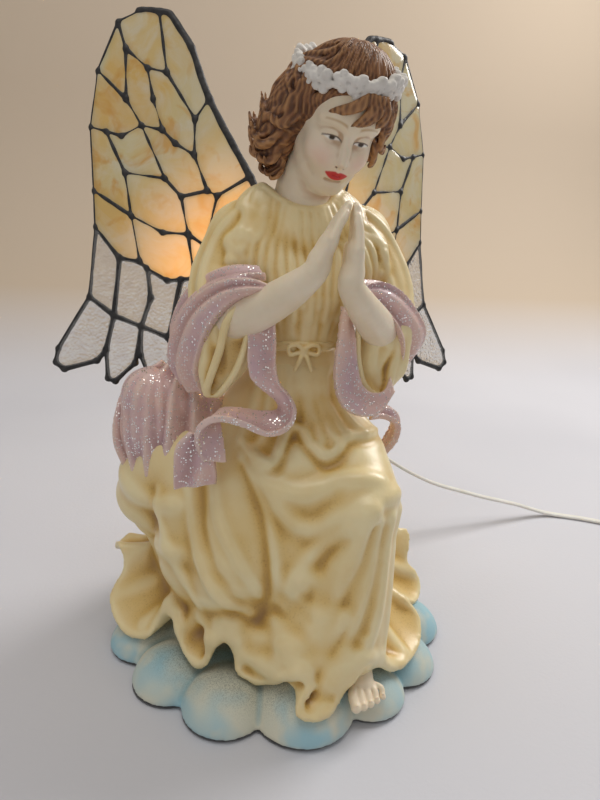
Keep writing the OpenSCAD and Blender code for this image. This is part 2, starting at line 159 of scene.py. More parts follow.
class Clay:
    """A block of modelling clay: signed distances on a regular grid, in millimetres."""

    def __init__(self, low, high, voxel):
        self.low = np.array(low, float)
        self.voxel = voxel
        self.size = np.ceil((np.array(high) - self.low) / voxel).astype(int) + 1
        self.field = np.full(self.size, FAR, np.float32)

    def window(self, low, high):
        a = np.clip(np.floor((np.asarray(low) - self.low) / self.voxel).astype(int), 0, self.size)
        b = np.clip(np.ceil((np.asarray(high) - self.low) / self.voxel).astype(int) + 1, 0, self.size)
        return tuple(slice(i, max(i, j)) for i, j in zip(a, b))

    def axes(self, window):
        x, y, z = (
            (self.low[k] + self.voxel * np.arange(window[k].start, window[k].stop)).astype(np.float32)
            for k in range(3))
        return x[:, None, None], y[None, :, None], z[None, None, :]

    def merge(self, window, d, k, mode):
        f = self.field[window]
        if mode == "cut":
            d = -d
        if k <= 0:
            self.field[window] = np.minimum(f, d) if mode == "add" else np.maximum(f, d)
            return
        h = np.maximum(k - np.abs(f - d), 0.0)
        soft = h * h / (4 * k)
        self.field[window] = np.minimum(f, d) - soft if mode == "add" else np.maximum(f, d) + soft

    def stroke(self, points, k=2.0, mode="add", lift=None, curved=True, radius=None):
        """A rope of clay through rows of x, y, z, radius. With lift it is laid on the surface first."""
        points = np.asarray(points, float)
        if radius is not None:
            points = np.column_stack([points, np.full(len(points), radius)])
        path = smooth_path(points, max(1.4 * self.voxel, 0.7 * points[:, 3].min())) if curved else points
        if lift is not None:
            path[:, :3] = self.laid(path[:, :3], lift)
        reach = path[:, 3].max() + k + self.voxel
        window = self.window(path[:, :3].min(0) - reach, path[:, :3].max(0) + reach)
        start = np.array([w.start for w in window])
        d = np.full([w.stop - w.start for w in window], FAR, np.float32)
        if not d.size:
            return
        for a, b in zip(path[:-1], path[1:]):
            edge = max(a[3], b[3]) + k + self.voxel
            near = self.window(np.minimum(a[:3], b[:3]) - edge, np.maximum(a[:3], b[:3]) + edge)
            x, y, z = self.axes(near)
            run = b[:3] - a[:3]
            length2 = float(run @ run) + 1e-9
            px, py, pz = x - np.float32(a[0]), y - np.float32(a[1]), z - np.float32(a[2])
            t = np.clip((px * np.float32(run[0]) + py * np.float32(run[1]) + pz * np.float32(run[2]))
                        / np.float32(length2), 0, 1)
            e = (np.sqrt((px - t * np.float32(run[0])) ** 2 + (py - t * np.float32(run[1])) ** 2
                         + (pz - t * np.float32(run[2])) ** 2)
                 - (np.float32(a[3]) + t * np.float32(b[3] - a[3])))
            local = tuple(slice(n.start - s, n.stop - s) for n, s in zip(near, start))
            d[local] = np.minimum(d[local], e)
        self.merge(window, d, k, mode)

    def egg(self, centre, radii, k=2.0, mode="add", turn=(0, 0, 0)):
        """An ellipsoid, turned by Euler angles in degrees."""
        radii = np.asarray(radii, float)
        reach = radii.max() + k + 2 * self.voxel
        window = self.window(np.subtract(centre, reach), np.add(centre, reach))
        x, y, z = self.axes(window)
        m = np.array(Matrix.Rotation(math.radians(turn[2]), 3, "Z") @ Matrix.Rotation(math.radians(turn[1]),
                                                                                      3, "Y")
                     @ Matrix.Rotation(math.radians(turn[0]), 3, "X")).astype(np.float32)
        px, py, pz = x - np.float32(centre[0]), y - np.float32(centre[1]), z - np.float32(centre[2])
        q = [px * m[0, i] + py * m[1, i] + pz * m[2, i] for i in range(3)]
        k0 = np.sqrt(sum((q[i] / np.float32(radii[i])) ** 2 for i in range(3)))
        k1 = np.sqrt(sum((q[i] / np.float32(radii[i] ** 2)) ** 2 for i in range(3))) + 1e-6
        self.merge(window, k0 * (k0 - 1.0) / k1, k, mode)

    def plane(self, point, normal, k=0.0):
        """Cuts away everything on the side that the normal points to."""
        window = tuple(slice(0, s) for s in self.size)
        x, y, z = self.axes(window)
        n = unit(normal).astype(np.float32)
        d = ((x - np.float32(point[0])) * n[0] + (y - np.float32(point[1])) * n[1]
             + (z - np.float32(point[2])) * n[2])
        self.merge(window, -d, k, "cut")

    def sample(self, points):
        """Distance and uphill direction at points, read between the cells."""
        q = np.clip((np.asarray(points) - self.low) / self.voxel, 1, np.array(self.size) - 3)
        i = np.floor(q).astype(int)
        f = q - i
        value = np.zeros(len(q))
        slope = np.zeros((len(q), 3))
        for corner in range(8):
            o = np.array([corner & 1, corner >> 1 & 1, corner >> 2 & 1])
            w = np.prod(np.where(o, f, 1 - f), axis=1)
            j = i + o
            value += w * self.field[j[:, 0], j[:, 1], j[:, 2]]
            for a in range(3):
                e = np.eye(3, dtype=int)[a]
                up, down = j + e, j - e
                slope[:, a] += w * (self.field[up[:, 0], up[:, 1], up[:, 2]]
                                    - self.field[down[:, 0], down[:, 1], down[:, 2]])
        return value, slope / (np.linalg.norm(slope, axis=1, keepdims=True) + 1e-9)

    def laid(self, points, lift):
        """Points moved onto the clay's surface, then raised by lift."""
        p = np.array(points, float)
        for _ in range(4):
            value, slope = self.sample(p)
            p -= slope * np.clip(value - lift, -6, 6)[:, None]
        return p

    def ripple(self, amount, scale, seed=0):
        """Roughens the surface with a sum of slanted waves, amount in millimetres."""
        local = np.random.default_rng(seed)
        window = tuple(slice(0, s) for s in self.size)
        x, y, z = self.axes(window)
        for _ in range(4):
            v = unit(local.normal(size=3)) * local.uniform(0.7, 1.6) / scale
            self.field += np.float32(amount / 2) * np.sin(
                x * np.float32(v[0]) + y * np.float32(v[1]) + z * np.float32(v[2])
                + np.float32(local.uniform(0, 6)))

    def mesh(self, relax=1):
        """The surface as points in millimetres and quads wound outwards."""
        field = self.field.copy()
        for axis in range(3):
            for end in (0, -1):
                index = [slice(None)] * 3
                index[axis] = end
                field[tuple(index)] = np.maximum(field[tuple(index)], 0.5)
        np.clip(field, -3 * self.voxel, 3 * self.voxel, out=field)
        grid = openvdb.FloatGrid(3 * self.voxel)
        grid.copyFromArray(field)
        points, quads = grid.convertToQuads(0.0)
        points = points.astype(float) * self.voxel + self.low
        quads = quads.astype(np.int64)
        a, b, c, d = (points[quads[:, i]] for i in range(4))
        if np.einsum("ij,ij->i", a, np.cross(b, c) + np.cross(c, d)).sum() < 0:
            quads = quads[:, ::-1]
        return relaxed(points, quads, relax), quads


def ring_quads(rings, n):
    """Quads that join rings of n points each to the next, and the last ring back to the first."""
    i = np.arange(n)
    j = (i + 1) % n
    return np.vstack([np.stack([k * n + i, k * n + j, (k + 1) % rings * n + j, (k + 1) % rings * n + i], -1)
                      for k in range(rings)])


def neighbours(quads):
    return np.vstack([quads[:, [i, (i + 1) % 4]] for i in range(4)])


def relaxed(points, quads, rounds, share=0.5):
    """Points moved towards the middle of their neighbours, so voxel steps disappear."""
    pairs = neighbours(quads)
    count = np.bincount(pairs[:, 0], minlength=len(points)) + 1e-9
    out = points.copy()
    for _ in range(rounds):
        for axis in range(3):
            middle = np.bincount(pairs[:, 0], out[pairs[:, 1], axis], minlength=len(points)) / count
            out[:, axis] += share * (middle - out[:, axis])
    return out


def outward(points, quads):
    a, b, c, d = (points[quads[:, i]] for i in range(4))
    face = np.cross(c - a, d - b)
    normal = np.zeros_like(points)
    for i in range(4):
        for axis in range(3):
            normal[:, axis] += np.bincount(quads[:, i], face[:, axis], minlength=len(points))
    return normal / (np.linalg.norm(normal, axis=1, keepdims=True) + 1e-12)


def hollows(points, quads):
    """How far each point stands above its smoothed surroundings, about -1 to 1: below zero in a fold."""
    fine, broad = 24, 120       # rounds of smoothing for small folds and for large ones
    normal = outward(points, quads)
    near = relaxed(points, quads, fine, 0.9)
    far = relaxed(near, quads, broad, 0.9)
    small, large = (np.einsum("ij,ij->i", points - p, normal) for p in (near, far))
    return small / (np.percentile(np.abs(small), 96) + 1e-6) + 0.6 * large / (np.percentile(np.abs(large),
                                                                                            96) + 1e-6)


def make_object(name, points, quads, material, values=None):
    """A Blender object from points in millimetres and quads, with named numbers on its points."""
    mesh = bpy.data.meshes.new(name)
    mesh.vertices.add(len(points))
    mesh.vertices.foreach_set("co", (np.asarray(points) * MM).astype(np.float32).ravel())
    mesh.loops.add(4 * len(quads))
    mesh.loops.foreach_set("vertex_index", np.asarray(quads, np.int32).ravel())
    mesh.polygons.add(len(quads))
    mesh.polygons.foreach_set("loop_start", np.arange(0, 4 * len(quads), 4, dtype=np.int32))
    mesh.update(calc_edges=True)
    mesh.validate()
    mesh.shade_smooth()
    for key, numbers in (values or {}).items():
        layer = mesh.attributes.new(key, "FLOAT", "POINT")
        layer.data.foreach_set("value", np.asarray(numbers, np.float32))
    mesh.materials.append(material)
    obj = bpy.data.objects.new(name, mesh)
    bpy.context.collection.objects.link(obj)
    return obj


def solid_object(name, points, faces, material):
    """A closed Blender object from points in millimetres and faces of any size, turned to face outwards."""
    points = np.asarray(points, float)
    fans = np.array([(face[0], face[i], face[i + 1]) for face in faces for i in range(1, len(face) - 1)])
    a, b, c = (points[fans[:, i]] for i in range(3))
    if np.einsum("ij,ij->i", a, np.cross(b, c)).sum() < 0:
        faces = [face[::-1] for face in faces]
    mesh = bpy.data.meshes.new(name)
    mesh.from_pydata((points * MM).tolist(), [], faces)
    mesh.validate()
    mesh.shade_smooth()
    mesh.materials.append(material)
    obj = bpy.data.objects.new(name, mesh)
    bpy.context.collection.objects.link(obj)
    return obj


def place(obj, body, slot, *nodes):
    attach(obj, body)
    if nodes:
        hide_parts(*nodes)
    return obj


def sculpt(name, clay, material, slot, *nodes, relax=1, body="figure", **masks):
    """Turns clay into a finished piece; masks are functions of the points."""
    points, quads = clay.mesh(relax)
    values = {"hollow": hollows(points, quads)}
    values.update({key: mask(points) for key, mask in masks.items()})
    return place(make_object(name, points, quads, material, values), body, slot, *nodes)


# ---------------------------------------------------------------- paints
def painted(name, light, shade, deep, rough=0.5, sheen=0.0):
    """Hand-painted resin: the light coat on the ridges, and in the folds the wash that settles there together
    with painted shade.
    """
    s = Shader(name)
    hollow = s.attribute("hollow")
    patchy = s.ramp(s.noise(45, 4), 0.35, 0.7)
    colour = s.mix(s.times(patchy, 0.35), light, shade)
    # painted shade: the folds take the shade colour and the deepest the deep one, on top of the wash
    colour = s.mix(s.ramp(hollow, 0.45, -0.7), colour, shade)
    colour = s.mix(s.ramp(hollow, -0.35, -1.5, 0, 0.95), colour, deep)
    # dark specks in the folds: the wash's grain together with painted shade
    grain_and_shade = s.times(s.ramp(s.noise(1300, 2), 0.56, 0.68), s.ramp(hollow, 0.1, -0.9, 0, 0.55))
    colour = s.mix(grain_and_shade, colour, deep)
    s.bump(s.noise(900, 4), 0.00012, 0.5)
    s.bump(s.noise(160, 3), 0.0004, 0.35)
    roughness = s.ramp(s.noise(220, 3), 0.2, 0.8, rough - 0.08, rough + 0.1)
    return s.finish(colour, roughness, Coat_Weight=sheen, Coat_Roughness=0.35, Subsurface_Weight=0.12,
                    Subsurface_Radius=(0.003, 0.002, 0.0012))


gown_paint = painted("gown paint", (0.85, 0.73, 0.43), (0.68, 0.43, 0.09), (0.30, 0.15, 0.03), 0.36,
                     sheen=0.4)


# ---------------------------------------------------------------- camera, light and floor
def stand_camera():
    """The viewpoint: 16 degrees down, turned 13.5 and rolled 3."""
    pitch, turn, roll = (math.radians(a) for a in (16, 13.5, 3))
    forward = Vector((math.sin(turn) * math.cos(pitch), math.cos(turn) * math.cos(pitch), -math.sin(pitch)))
    level = Vector((math.cos(turn), -math.sin(turn), 0))
    lifted = level.cross(forward)
    right = level * math.cos(roll) + lifted * math.sin(roll)
    up = right.cross(forward)
    data = bpy.data.cameras.new("camera")
    data.lens = 27
    data.clip_start = 0.01
    obj = bpy.data.objects.new("camera", data)
    obj.matrix_world = Matrix((
        (right.x, up.x, -forward.x, -0.0547),
        (right.y, up.y, -forward.y, -0.2699),
        (right.z, up.z, -forward.z, 0.2030),
        (0, 0, 0, 1)))
    bpy.context.collection.objects.link(obj)
    bpy.context.scene.camera = obj


def light(name, place_at, aim, size, power, colour):
    data = bpy.data.lights.new(name, "AREA")
    data.shape = "DISK"
    data.size = size
    data.energy = power
    data.color = colour
    obj = bpy.data.objects.new(name, data)
    obj.location = place_at
    obj.rotation_euler = (Vector(aim) - Vector(place_at)).to_track_quat("-Z", "Y").to_euler()
    bpy.context.collection.objects.link(obj)


def stand_studio():
    bpy.context.scene.view_settings.view_transform = "Standard"
    light("window", (0.90, 0.38, 0.95), (0, 0, 0.12), 0.6, 9.5, (1.0, 0.97, 0.94))
    light("overhead", (-0.15, -0.10, 1.25), (0, 0, 0.10), 0.8, 4.2, (1.0, 0.96, 0.90))
    light("fill", (-0.7, -0.9, 0.5), (0, 0, 0.12), 0.9, 1.0, (1.0, 0.94, 0.86))
    world = bpy.context.scene.world or bpy.data.worlds.new("world")
    bpy.context.scene.world = world
    world.use_nodes = True
    world.node_tree.nodes["Background"].inputs["Color"].default_value = (0.93, 0.91, 0.90, 1)
    world.node_tree.nodes["Background"].inputs["Strength"].default_value = 0.36


def lay_floor():
    """A pale floor that curves up into a backdrop behind the object."""
    rows = [(y, 0.0) for y in (-2.0, -0.6, 0.0, 0.3)]
    rows += [(0.45 + 0.4 * math.sin(a), 0.4 - 0.4 * math.cos(a)) for a in np.linspace(0, math.pi / 2, 12)]
    rows += [(0.85, 0.9), (0.85, 1.8)]
    points = [(x, y, z) for y, z in rows for x in (-2.0, 2.0)]
    faces = [(2 * i, 2 * i + 1, 2 * i + 3, 2 * i + 2) for i in range(len(rows) - 1)]
    mesh = bpy.data.meshes.new("floor")
    mesh.from_pydata(points, [], faces)
    mesh.shade_smooth()
    s = Shader("floor cloth")
    height = s.add("ShaderNodeSeparateXYZ")
    s.join(s.place, height.inputs["Vector"])
    colour = s.mix(s.ramp(s.noise(3, 2), 0.3, 0.7), (0.66, 0.67, 0.72), (0.60, 0.61, 0.66))
    colour = s.mix(s.ramp(height.outputs["Z"], 0.0, 0.10), colour, (0.57, 0.47, 0.36))
    s.bump(s.noise(500, 3), 0.0003, 0.3)
    mesh.materials.append(s.finish(colour, 0.85))
    obj = bpy.data.objects.new("floor", mesh)
    bpy.context.collection.objects.link(obj)


stand_camera()
stand_studio()
lay_floor()


# ---------------------------------------------------------------- lead, coil and plug
lead_w = 5.0
lead_t = 2.6
lead_route = [
    (50, 72, 80), (60, 75.3, 77), (70, 76, 72), (79, 77.5, 66.5), (88, 78.5, 60.5),
    (104, 81, 50), (123, 84, 39.5), (137, 86, 33.5), (150, 87.5, 29), (170, 90, 22),
    (188, 92, 16.5), (204, 94, 11.5), (218, 95, 6.5), (229, 95, 3),
    (240, 92, 1.5), (253, 86, 1.4), (266, 78, 1.4), (274, 72.8, 2),
    (283, 67, 4), (300, 56, 4), (317, 45, 4), (326, 39.2, 2), (337, 32, 1.4), (352, 22.5, 1.4)]
coil_at = (334, -6)
coil_r = 28.0
coil_swing = 5.5        # the turns lie this far inside and outside the middle radius
layer_rise = 2.75
coil_layers = 4
turns_a_layer = 2
coil_start = math.radians(57.7)
plug_at = (367.5, -32, 8)


def coiled():
    """The stored turns: each layer winds in or out, and the next lies on it."""
    total = coil_layers * turns_a_layer + coil_start / (2 * math.pi)
    points = []
    for turn in np.arange(1 / 30, total, 1 / 30):
        layer = min(int(turn / turns_a_layer), coil_layers - 1)
        within = turn / turns_a_layer - layer
        sway = 1 - 2 * min(within, 1.0)
        sway = sway if layer % 2 == 0 else -sway
        step = np.clip((within - 0.9) / 0.1, 0, 1) if layer < coil_layers - 1 else 0
        z = 1.4 + layer_rise * (layer + step * step * (3 - 2 * step))
        a = coil_start - 2 * math.pi * turn
        r = coil_r + coil_swing * sway
        points.append((coil_at[0] + r * math.cos(a), coil_at[1] + r * math.sin(a), z))
    return points


def white_pvc():
    s = Shader("white pvc")
    colour = s.mix(s.ramp(s.noise(90, 3), 0.35, 0.7), (0.80, 0.79, 0.74), (0.70, 0.68, 0.62))
    s.bump(s.noise(700, 3), 0.0001, 0.3)
    return s.finish(colour, s.ramp(s.noise(120), 0.3, 0.7, 0.38, 0.52), Subsurface_Weight=0.05)


pvc = white_pvc()


def swept(name, path, outline, material):
    """A closed solid: an outline of (side, up) points carried along a path, level from side to side."""
    path = np.asarray(path, float)
    ahead = np.gradient(path, axis=0)
    ahead /= np.linalg.norm(ahead, axis=1, keepdims=True)
    side = np.cross(ahead, (0, 0, 1.0))
    side /= np.linalg.norm(side, axis=1, keepdims=True)
    up = np.cross(side, ahead)
    n = len(outline)
    rings = path[:, None, :] + side[:, None, :] * outline[None, :, :1] + up[:, None, :] * outline[None, :, 1:]
    faces = [(k * n + i, k * n + (i + 1) % n, (k + 1) * n + (i + 1) % n, (k + 1) * n + i)
             for k in range(len(path) - 1) for i in range(n)]
    faces += [tuple(range(n - 1, -1, -1)), tuple(range((len(path) - 1) * n, len(path) * n))]
    return solid_object(name, rings.reshape(-1, 3), faces, material)


def run_lead():
    tail = [(plug_at[0], y, z) for y, z in ((-12, 9.3), (-20, 8.6), (-28, 8.1), (-32, 8.0))]
    path = smooth_path(lead_route, 3.0)[:-1]
    path = np.vstack([path, coiled(), smooth_path(tail, 2.0)])
    a = np.linspace(0, 2 * math.pi, 20, endpoint=False)
    half, thick = lead_w / 2, lead_t / 2
    waist = 1 - 0.28 * np.exp(-(np.cos(a) / 0.30) ** 2)
    outline = np.column_stack([half * np.sign(np.cos(a)) * np.abs(np.cos(a)) ** 0.8,
                               thick * np.sin(a) * waist])
    lead = swept("lead", path, outline, pvc)
    place(lead, "figure", "white_pvc", "lamp_cord", "cord_coil", "cord_tail")
    return lead, path


lead, lead_path = run_lead()


# ---------------------------------------------------------------- gown
COARSE = 1.0

hem_mid = np.array([4.0, -6.0])
# the hem's edge from the viewer's left, round the front to the right: dips rest on the cloud, crests roll up
hem_front = [
    (-72, 31, 40), (-79, 23, 39), (-78, 15, 44), (-75, 11, 40), (-75, 8, 33), (-79, 5, 27), (-81, 1, 22),
    (-79, -7, 17), (-73, -17, 14), (-65, -22, 15), (-60, -22, 21), (-56, -21, 28), (-52, -23, 31),
    (-49, -30, 30),
    (-49, -37, 25), (-47, -42, 20), (-43, -46, 17), (-39, -49, 18), (-37, -50, 24), (-35, -50, 32),
    (-31, -49, 37),
    (-27, -51, 35), (-25, -55, 27), (-25, -58, 20), (-20, -60, 17), (-14, -63, 17), (-10, -67, 20),
    (-9, -71, 25),
    (-5, -75, 29), (0, -76, 29), (2, -78, 25), (-2, -80, 20), (-3, -82, 16), (2, -83, 14), (8, -82, 14),
    (13, -79, 16), (18, -75, 22), (22, -73, 28), (28, -70, 31), (34, -68, 28), (39, -66, 21), (45, -63, 16),
    (52, -59, 15), (59, -53, 15), (65, -45, 17),
    (67, -37, 23), (61, -33, 30), (56, -28, 30), (62, -22, 22), (72, -19, 17), (79, -11, 16), (81, -4, 22),
    (74, -2, 31), (76, 2, 41), (75, 6, 47), (67, 6, 46), (68, 12, 38), (77, 15, 32)]


def hem_edge():
    """The whole edge as a closed curve; round the back its waves are even."""
    back = []
    for i in range(17):
        a = math.radians(25 + 7.6 * i)
        crest = 1 if i % 2 else -1
        r = 77 - 4 * crest + 2 * math.sin(2.1 * i)
        back.append((hem_mid[0] + r * math.cos(a), hem_mid[1] + r * math.sin(a),
                     33 + 6 * crest + 3 * math.sin(i)))
    rows = hem_front + back
    return smooth_path([rows[-2], rows[-1]] + rows + rows[:1], 1.2)[:-1], rows


def hem_sheet():
    """The hem as a closed sheet of quads, from under the skirt out to its ruffled edge."""
    thick, rings = 3.0, 26
    edge, rows = hem_edge()
    first = np.argmin(np.linalg.norm(edge - rows[0], axis=1))
    edge = edge[first:]
    reach = 22
    calm = sum(np.roll(edge, i, 0) for i in range(-reach, reach + 1)) / (2 * reach + 1)
    a = np.arctan2(calm[:, 1] - hem_mid[1], calm[:, 0] - hem_mid[0])
    inner = np.column_stack([hem_mid[0] + 26 * np.cos(a), hem_mid[1] + 25 * np.sin(a), np.full(len(a), 60.0)])
    sheet = []
    for share in np.linspace(0, 1, rings + 1):
        ring = inner + (calm - inner) * share
        ring[:, 2] = 60 + (calm[:, 2] - 60) * (1 - (1 - share) ** 1.5)
        sheet.append(ring + (edge - calm) * share**1.7)
    sheet = np.array(sheet)
    m, n, _ = sheet.shape
    along = np.roll(sheet, -1, 1) - np.roll(sheet, 1, 1)
    out = np.gradient(sheet, axis=0)
    normal = np.cross(out, along)
    normal /= np.linalg.norm(normal, axis=2, keepdims=True) + 1e-9
    normal = np.where(normal[:, :, 2:].mean() < 0, -normal, normal)
    bead = 1 + 0.12 * np.exp(-((rings - np.arange(rings + 1)) / 1.2) ** 2)[:, None, None]
    top = sheet + normal * bead * thick / 2
    base = sheet - normal * bead * thick / 2
    points = np.vstack([top.reshape(-1, 3), base.reshape(-1, 3)])
    k, i = np.meshgrid(np.arange(m - 1), np.arange(n), indexing="ij")
    j = (i + 1) % n
    up = np.stack([k * n + i, (k + 1) * n + i, (k + 1) * n + j, k * n + j], -1).reshape(-1, 4)
    down = up[:, ::-1] + m * n
    i = np.arange(n)
    j = (i + 1) % n
    rim = (m - 1) * n
    wall = np.stack([rim + i, m * n + rim + i, m * n + rim + j, rim + j], -1)
    inside = np.stack([i, j, m * n + j, m * n + i], -1)
    return points, np.vstack([up, down, wall, inside])


def sheet_into(clay, points, quads, k):
    """Joins a closed sheet of quads to the clay, smoothly over k millimetres."""
    band = 8
    grid = openvdb.FloatGrid.createLevelSetFromPolygons(
        ((points - clay.low) / clay.voxel).astype(np.float32), quads=quads.astype(np.uint32),
        transform=openvdb.createLinearTransform(voxelSize=1.0), halfWidth=band)
    d = np.empty(clay.size, np.float32)
    grid.copyToArray(d)
    clay.merge(tuple(slice(0, s) for s in clay.size), d * np.float32(clay.voxel), k, "add")


def strip(clay, rows, thick=2.2, k=0.8, folds=0.0, swing=0.0, belly=0.0, across=11):
    """A strip of cloth between two edges, given as rows of both their points, with folds along its length."""
    rows = smooth_path(rows, 1.6)
    t = np.linspace(0, 1, across)[None, :, None]
    sheet = rows[:, None, :3] * (1 - t) + rows[:, None, 3:6] * t
    normal = np.cross(np.gradient(sheet, axis=0), np.gradient(sheet, axis=1))
    normal /= np.linalg.norm(normal, axis=2, keepdims=True) + 1e-9
    drift = np.linspace(0, 2.5, len(rows))[:, None, None]
    sheet = sheet + normal * (belly * 4 * t * (1 - t) + swing * np.sin(2 * math.pi * folds * t + drift))
    bead = 1 + 0.45 * (np.exp(-(t / 0.08) ** 2) + np.exp(-((1 - t) / 0.08) ** 2))
    m, n, _ = sheet.shape
    points = np.vstack([(sheet + normal * bead * side * thick / 2).reshape(-1, 3) for side in (1, -1)])
    row, i = np.meshgrid(np.arange(m - 1), np.arange(n - 1), indexing="ij")
    up = np.stack([row * n + i, (row + 1) * n + i, (row + 1) * n + i + 1, row * n + i + 1], -1).reshape(-1, 4)
    around = np.concatenate([np.arange(n), np.arange(2 * n - 1, m * n, n),
                             np.arange(m * n - 2, (m - 1) * n - 1, -1),
                               np.arange((m - 2) * n, 0, -n)])
    after = np.roll(around, -1)
    wall = np.stack([around, after, after + m * n, around + m * n], -1)
    sheet_into(clay, points, np.vstack([up, up[:, ::-1] + m * n, wall[:, ::-1]]), k)


def ridges(clay, lines, radius, k=3.0, mode="add", sink=0.45):
    """Folds, or with "cut" the valleys between them: ropes sunk into the cloth, thin at both ends."""
    for line in lines:
        line = np.asarray(line, float)
        swell = np.sin(np.linspace(0.25, math.pi - 0.25, len(line))) ** 0.6
        lift = (-sink if mode == "add" else sink) * radius
        clay.stroke(np.column_stack([line, radius * (0.35 + 0.65 * swell)]), k, mode, lift=lift)


def lower_gown():
    clay = Clay((-90, -90, 8), (90, 82, 150), 1.13 * COARSE)
    # pelvis and waist
    clay.stroke([(4, -14, 152, 18), (4, -14, 142, 20), (4, -12, 126, 25), (3, -8, 108, 29)], 6)
    clay.egg((4, 4, 110), (30, 26, 30), 8)
    # raised leg: thigh, knee and shin
    clay.stroke([(12, -14, 116, 22), (22, -36, 107, 19), (24, -52, 96, 17)], 8)
    clay.stroke([(24, -54, 96, 15.5), (25, -58, 78, 13.5), (25, -60, 54, 13), (25, -60, 30, 13)], 6)
    # kneeling leg: thigh down to the knee, shin back along the ground
    clay.stroke([(-8, -12, 118, 22), (-18, -28, 92, 21), (-23, -36, 66, 20), (-23, -38, 52, 18)], 8)
    clay.stroke([(-26, -34, 46, 17), (-34, -8, 44, 20), (-36, 16, 44, 18)], 6)
    # the lap, and the cloth that hangs from it between the legs and round the back
    clay.egg((4, -38, 106), (24, 18, 16), 8)
    clay.egg((5, -36, 68), (25, 28, 44), 12)
    clay.stroke([(14, -54, 46, 13), (4, -54, 36, 13), (-8, -44, 30, 11), (-24, -32, 28, 10),
                 (-40, -18, 28, 9)], 9)
    clay.stroke([(-16, -49, 27, 8), (-8, -55, 27, 9), (4, -62, 28, 10), (16, -63, 28, 9)], 8)
    clay.stroke([(6, -66, 27, 8), (10, -70, 22, 6)], 6)
    clay.egg((8, -49, 98), (18, 11, 9), 7)
    clay.stroke([(-38, -16, 104, 14), (-42, -22, 80, 14), (-42, -22, 56, 15)], 9)
    clay.stroke([(-48, -2, 98, 20), (-55, 4, 80, 20), (-50, 4, 60, 14), (-42, 6, 40, 14)], 8)
    clay.stroke([(-40, 20, 82, 22), (-34, 34, 62, 20), (-30, 42, 40, 22)], 8)
    clay.stroke([(34, 10, 80, 22), (36, 20, 60, 20), (38, 24, 38, 20)], 8)
    clay.stroke([(24, 30, 84, 16), (26, 40, 60, 18), (26, 46, 40, 20)], 8)
    clay.egg((2, 2, 44), (52, 48, 22), 10)
    points, quads = hem_sheet()
    sheet_into(clay, points, quads, 5)

    # the overskirt's loops hang from hip to knee
    ridges(clay, [
        [(-19, -50, 113), (-11, -54, 105), (-2, -55, 101), (8, -56, 102), (18, -60, 106), (29, -64, 108)],
        [(-22, -44, 116), (-15, -52, 104), (-8, -56, 94), (0, -58, 88), (8, -59, 89), (17, -62, 95),
         (26, -66, 101), (36, -62, 102)]], 2.8, 5, sink=0.3)
    # a fold sweeps from the knee, along the shin and under the kneeling leg to the left of the hem
    clay.stroke([(-4, -64, 62, 2), (-12, -63, 53, 4), (-24, -58, 46, 4), (-36, -52, 41, 3.5),
                 (-50, -40, 38, 3),
                 (-60, -26, 38, 2)], 7, "cut")
    ridges(clay, [
        [(22, -70, 98), (17, -72, 86), (11, -71, 73), (5, -70, 60), (-3, -68, 50), (-14, -65, 41),
         (-27, -60, 36), (-38, -52, 34), (-48, -40, 33), (-54, -24, 30)]], 2.8, 7, sink=0.1)
    ridges(clay, [
        [(20, -64, 92), (9, -63, 84), (1, -62, 74), (-4, -61, 62)]], 2.2, 4, sink=0.3)
    # folds down the shin that fan out over the front of the hem
    ridges(clay, [
        [(24, -70, 100), (20, -74, 84), (14, -74, 66), (8, -72, 48), (1, -70, 34), (-5, -70, 22)],
        [(28, -71, 94), (25, -74, 76), (20, -74, 56), (14, -75, 38), (8, -76, 24), (4, -78, 16)],
        [(34, -67, 94), (32, -71, 74), (30, -72, 54), (26, -73, 38), (20, -74, 24)],
        [(39, -60, 94), (39, -62, 72), (38, -64, 50), (42, -64, 34), (50, -60, 20)]], 2.4, 3.5, sink=0.3)
    ridges(clay, [
        [(26, -73, 92), (23, -75, 72), (17, -75, 52), (10, -75, 38)],
        [(32, -70, 90), (29, -73, 66), (25, -74, 46)]], 1.8, 3.5, "cut")
    # folds hugging the kneeling thigh
    ridges(clay, [
        [(-24, -38, 116), (-17, -48, 100), (-11, -54, 80), (-9, -57, 62), (-12, -58, 50)],
        [(-35, -36, 106), (-31, -44, 88), (-25, -52, 72), (-16, -57, 56)],
        [(-44, -30, 98), (-41, -36, 82), (-37, -44, 66), (-30, -50, 54), (-20, -55, 46)],
        [(-52, -20, 90), (-50, -26, 74), (-46, -32, 58), (-38, -42, 46)]], 2.2, 3.0, sink=0.35)
    ridges(clay, [
        [(-21, -42, 108), (-15, -50, 90), (-13, -55, 72), (-14, -58, 56)],
        [(-39, -34, 98), (-36, -42, 80), (-31, -49, 64), (-24, -53, 52)]], 1.6, 3.0, "cut")
    # swags round the left hip, under the draped scarf, and the hollow they hang over
    ridges(clay, [
        [(-76, 8, 94), (-70, -10, 86), (-58, -20, 82), (-46, -28, 86)],
        [(-75, 10, 80), (-70, -8, 70), (-60, -20, 64), (-46, -30, 66)]], 3.0, 6, sink=0.5)
    # the hem's folds run in towards the knees
    for foot in ((-76, 4, 20), (-66, -18, 20), (-53, -23, 31), (-42, -46, 17), (-31, -49, 37),
                 (-16, -60, 18), (0, -74, 29),
                 (8, -80, 15), (28, -69, 30), (54, -56, 20), (62, -30, 30), (78, -6, 26), (68, 6, 46)):
        inward = np.array([hem_mid[0], hem_mid[1], 0]) - np.array(foot)
        line = [(foot[0] + inward[0] * t, foot[1] + inward[1] * t, foot[2] + 34 * t) for t in (0.02, 0.15,
                                                                                               0.3, 0.46)]
        ridges(clay, [line], 2.0, 5, sink=0.2)
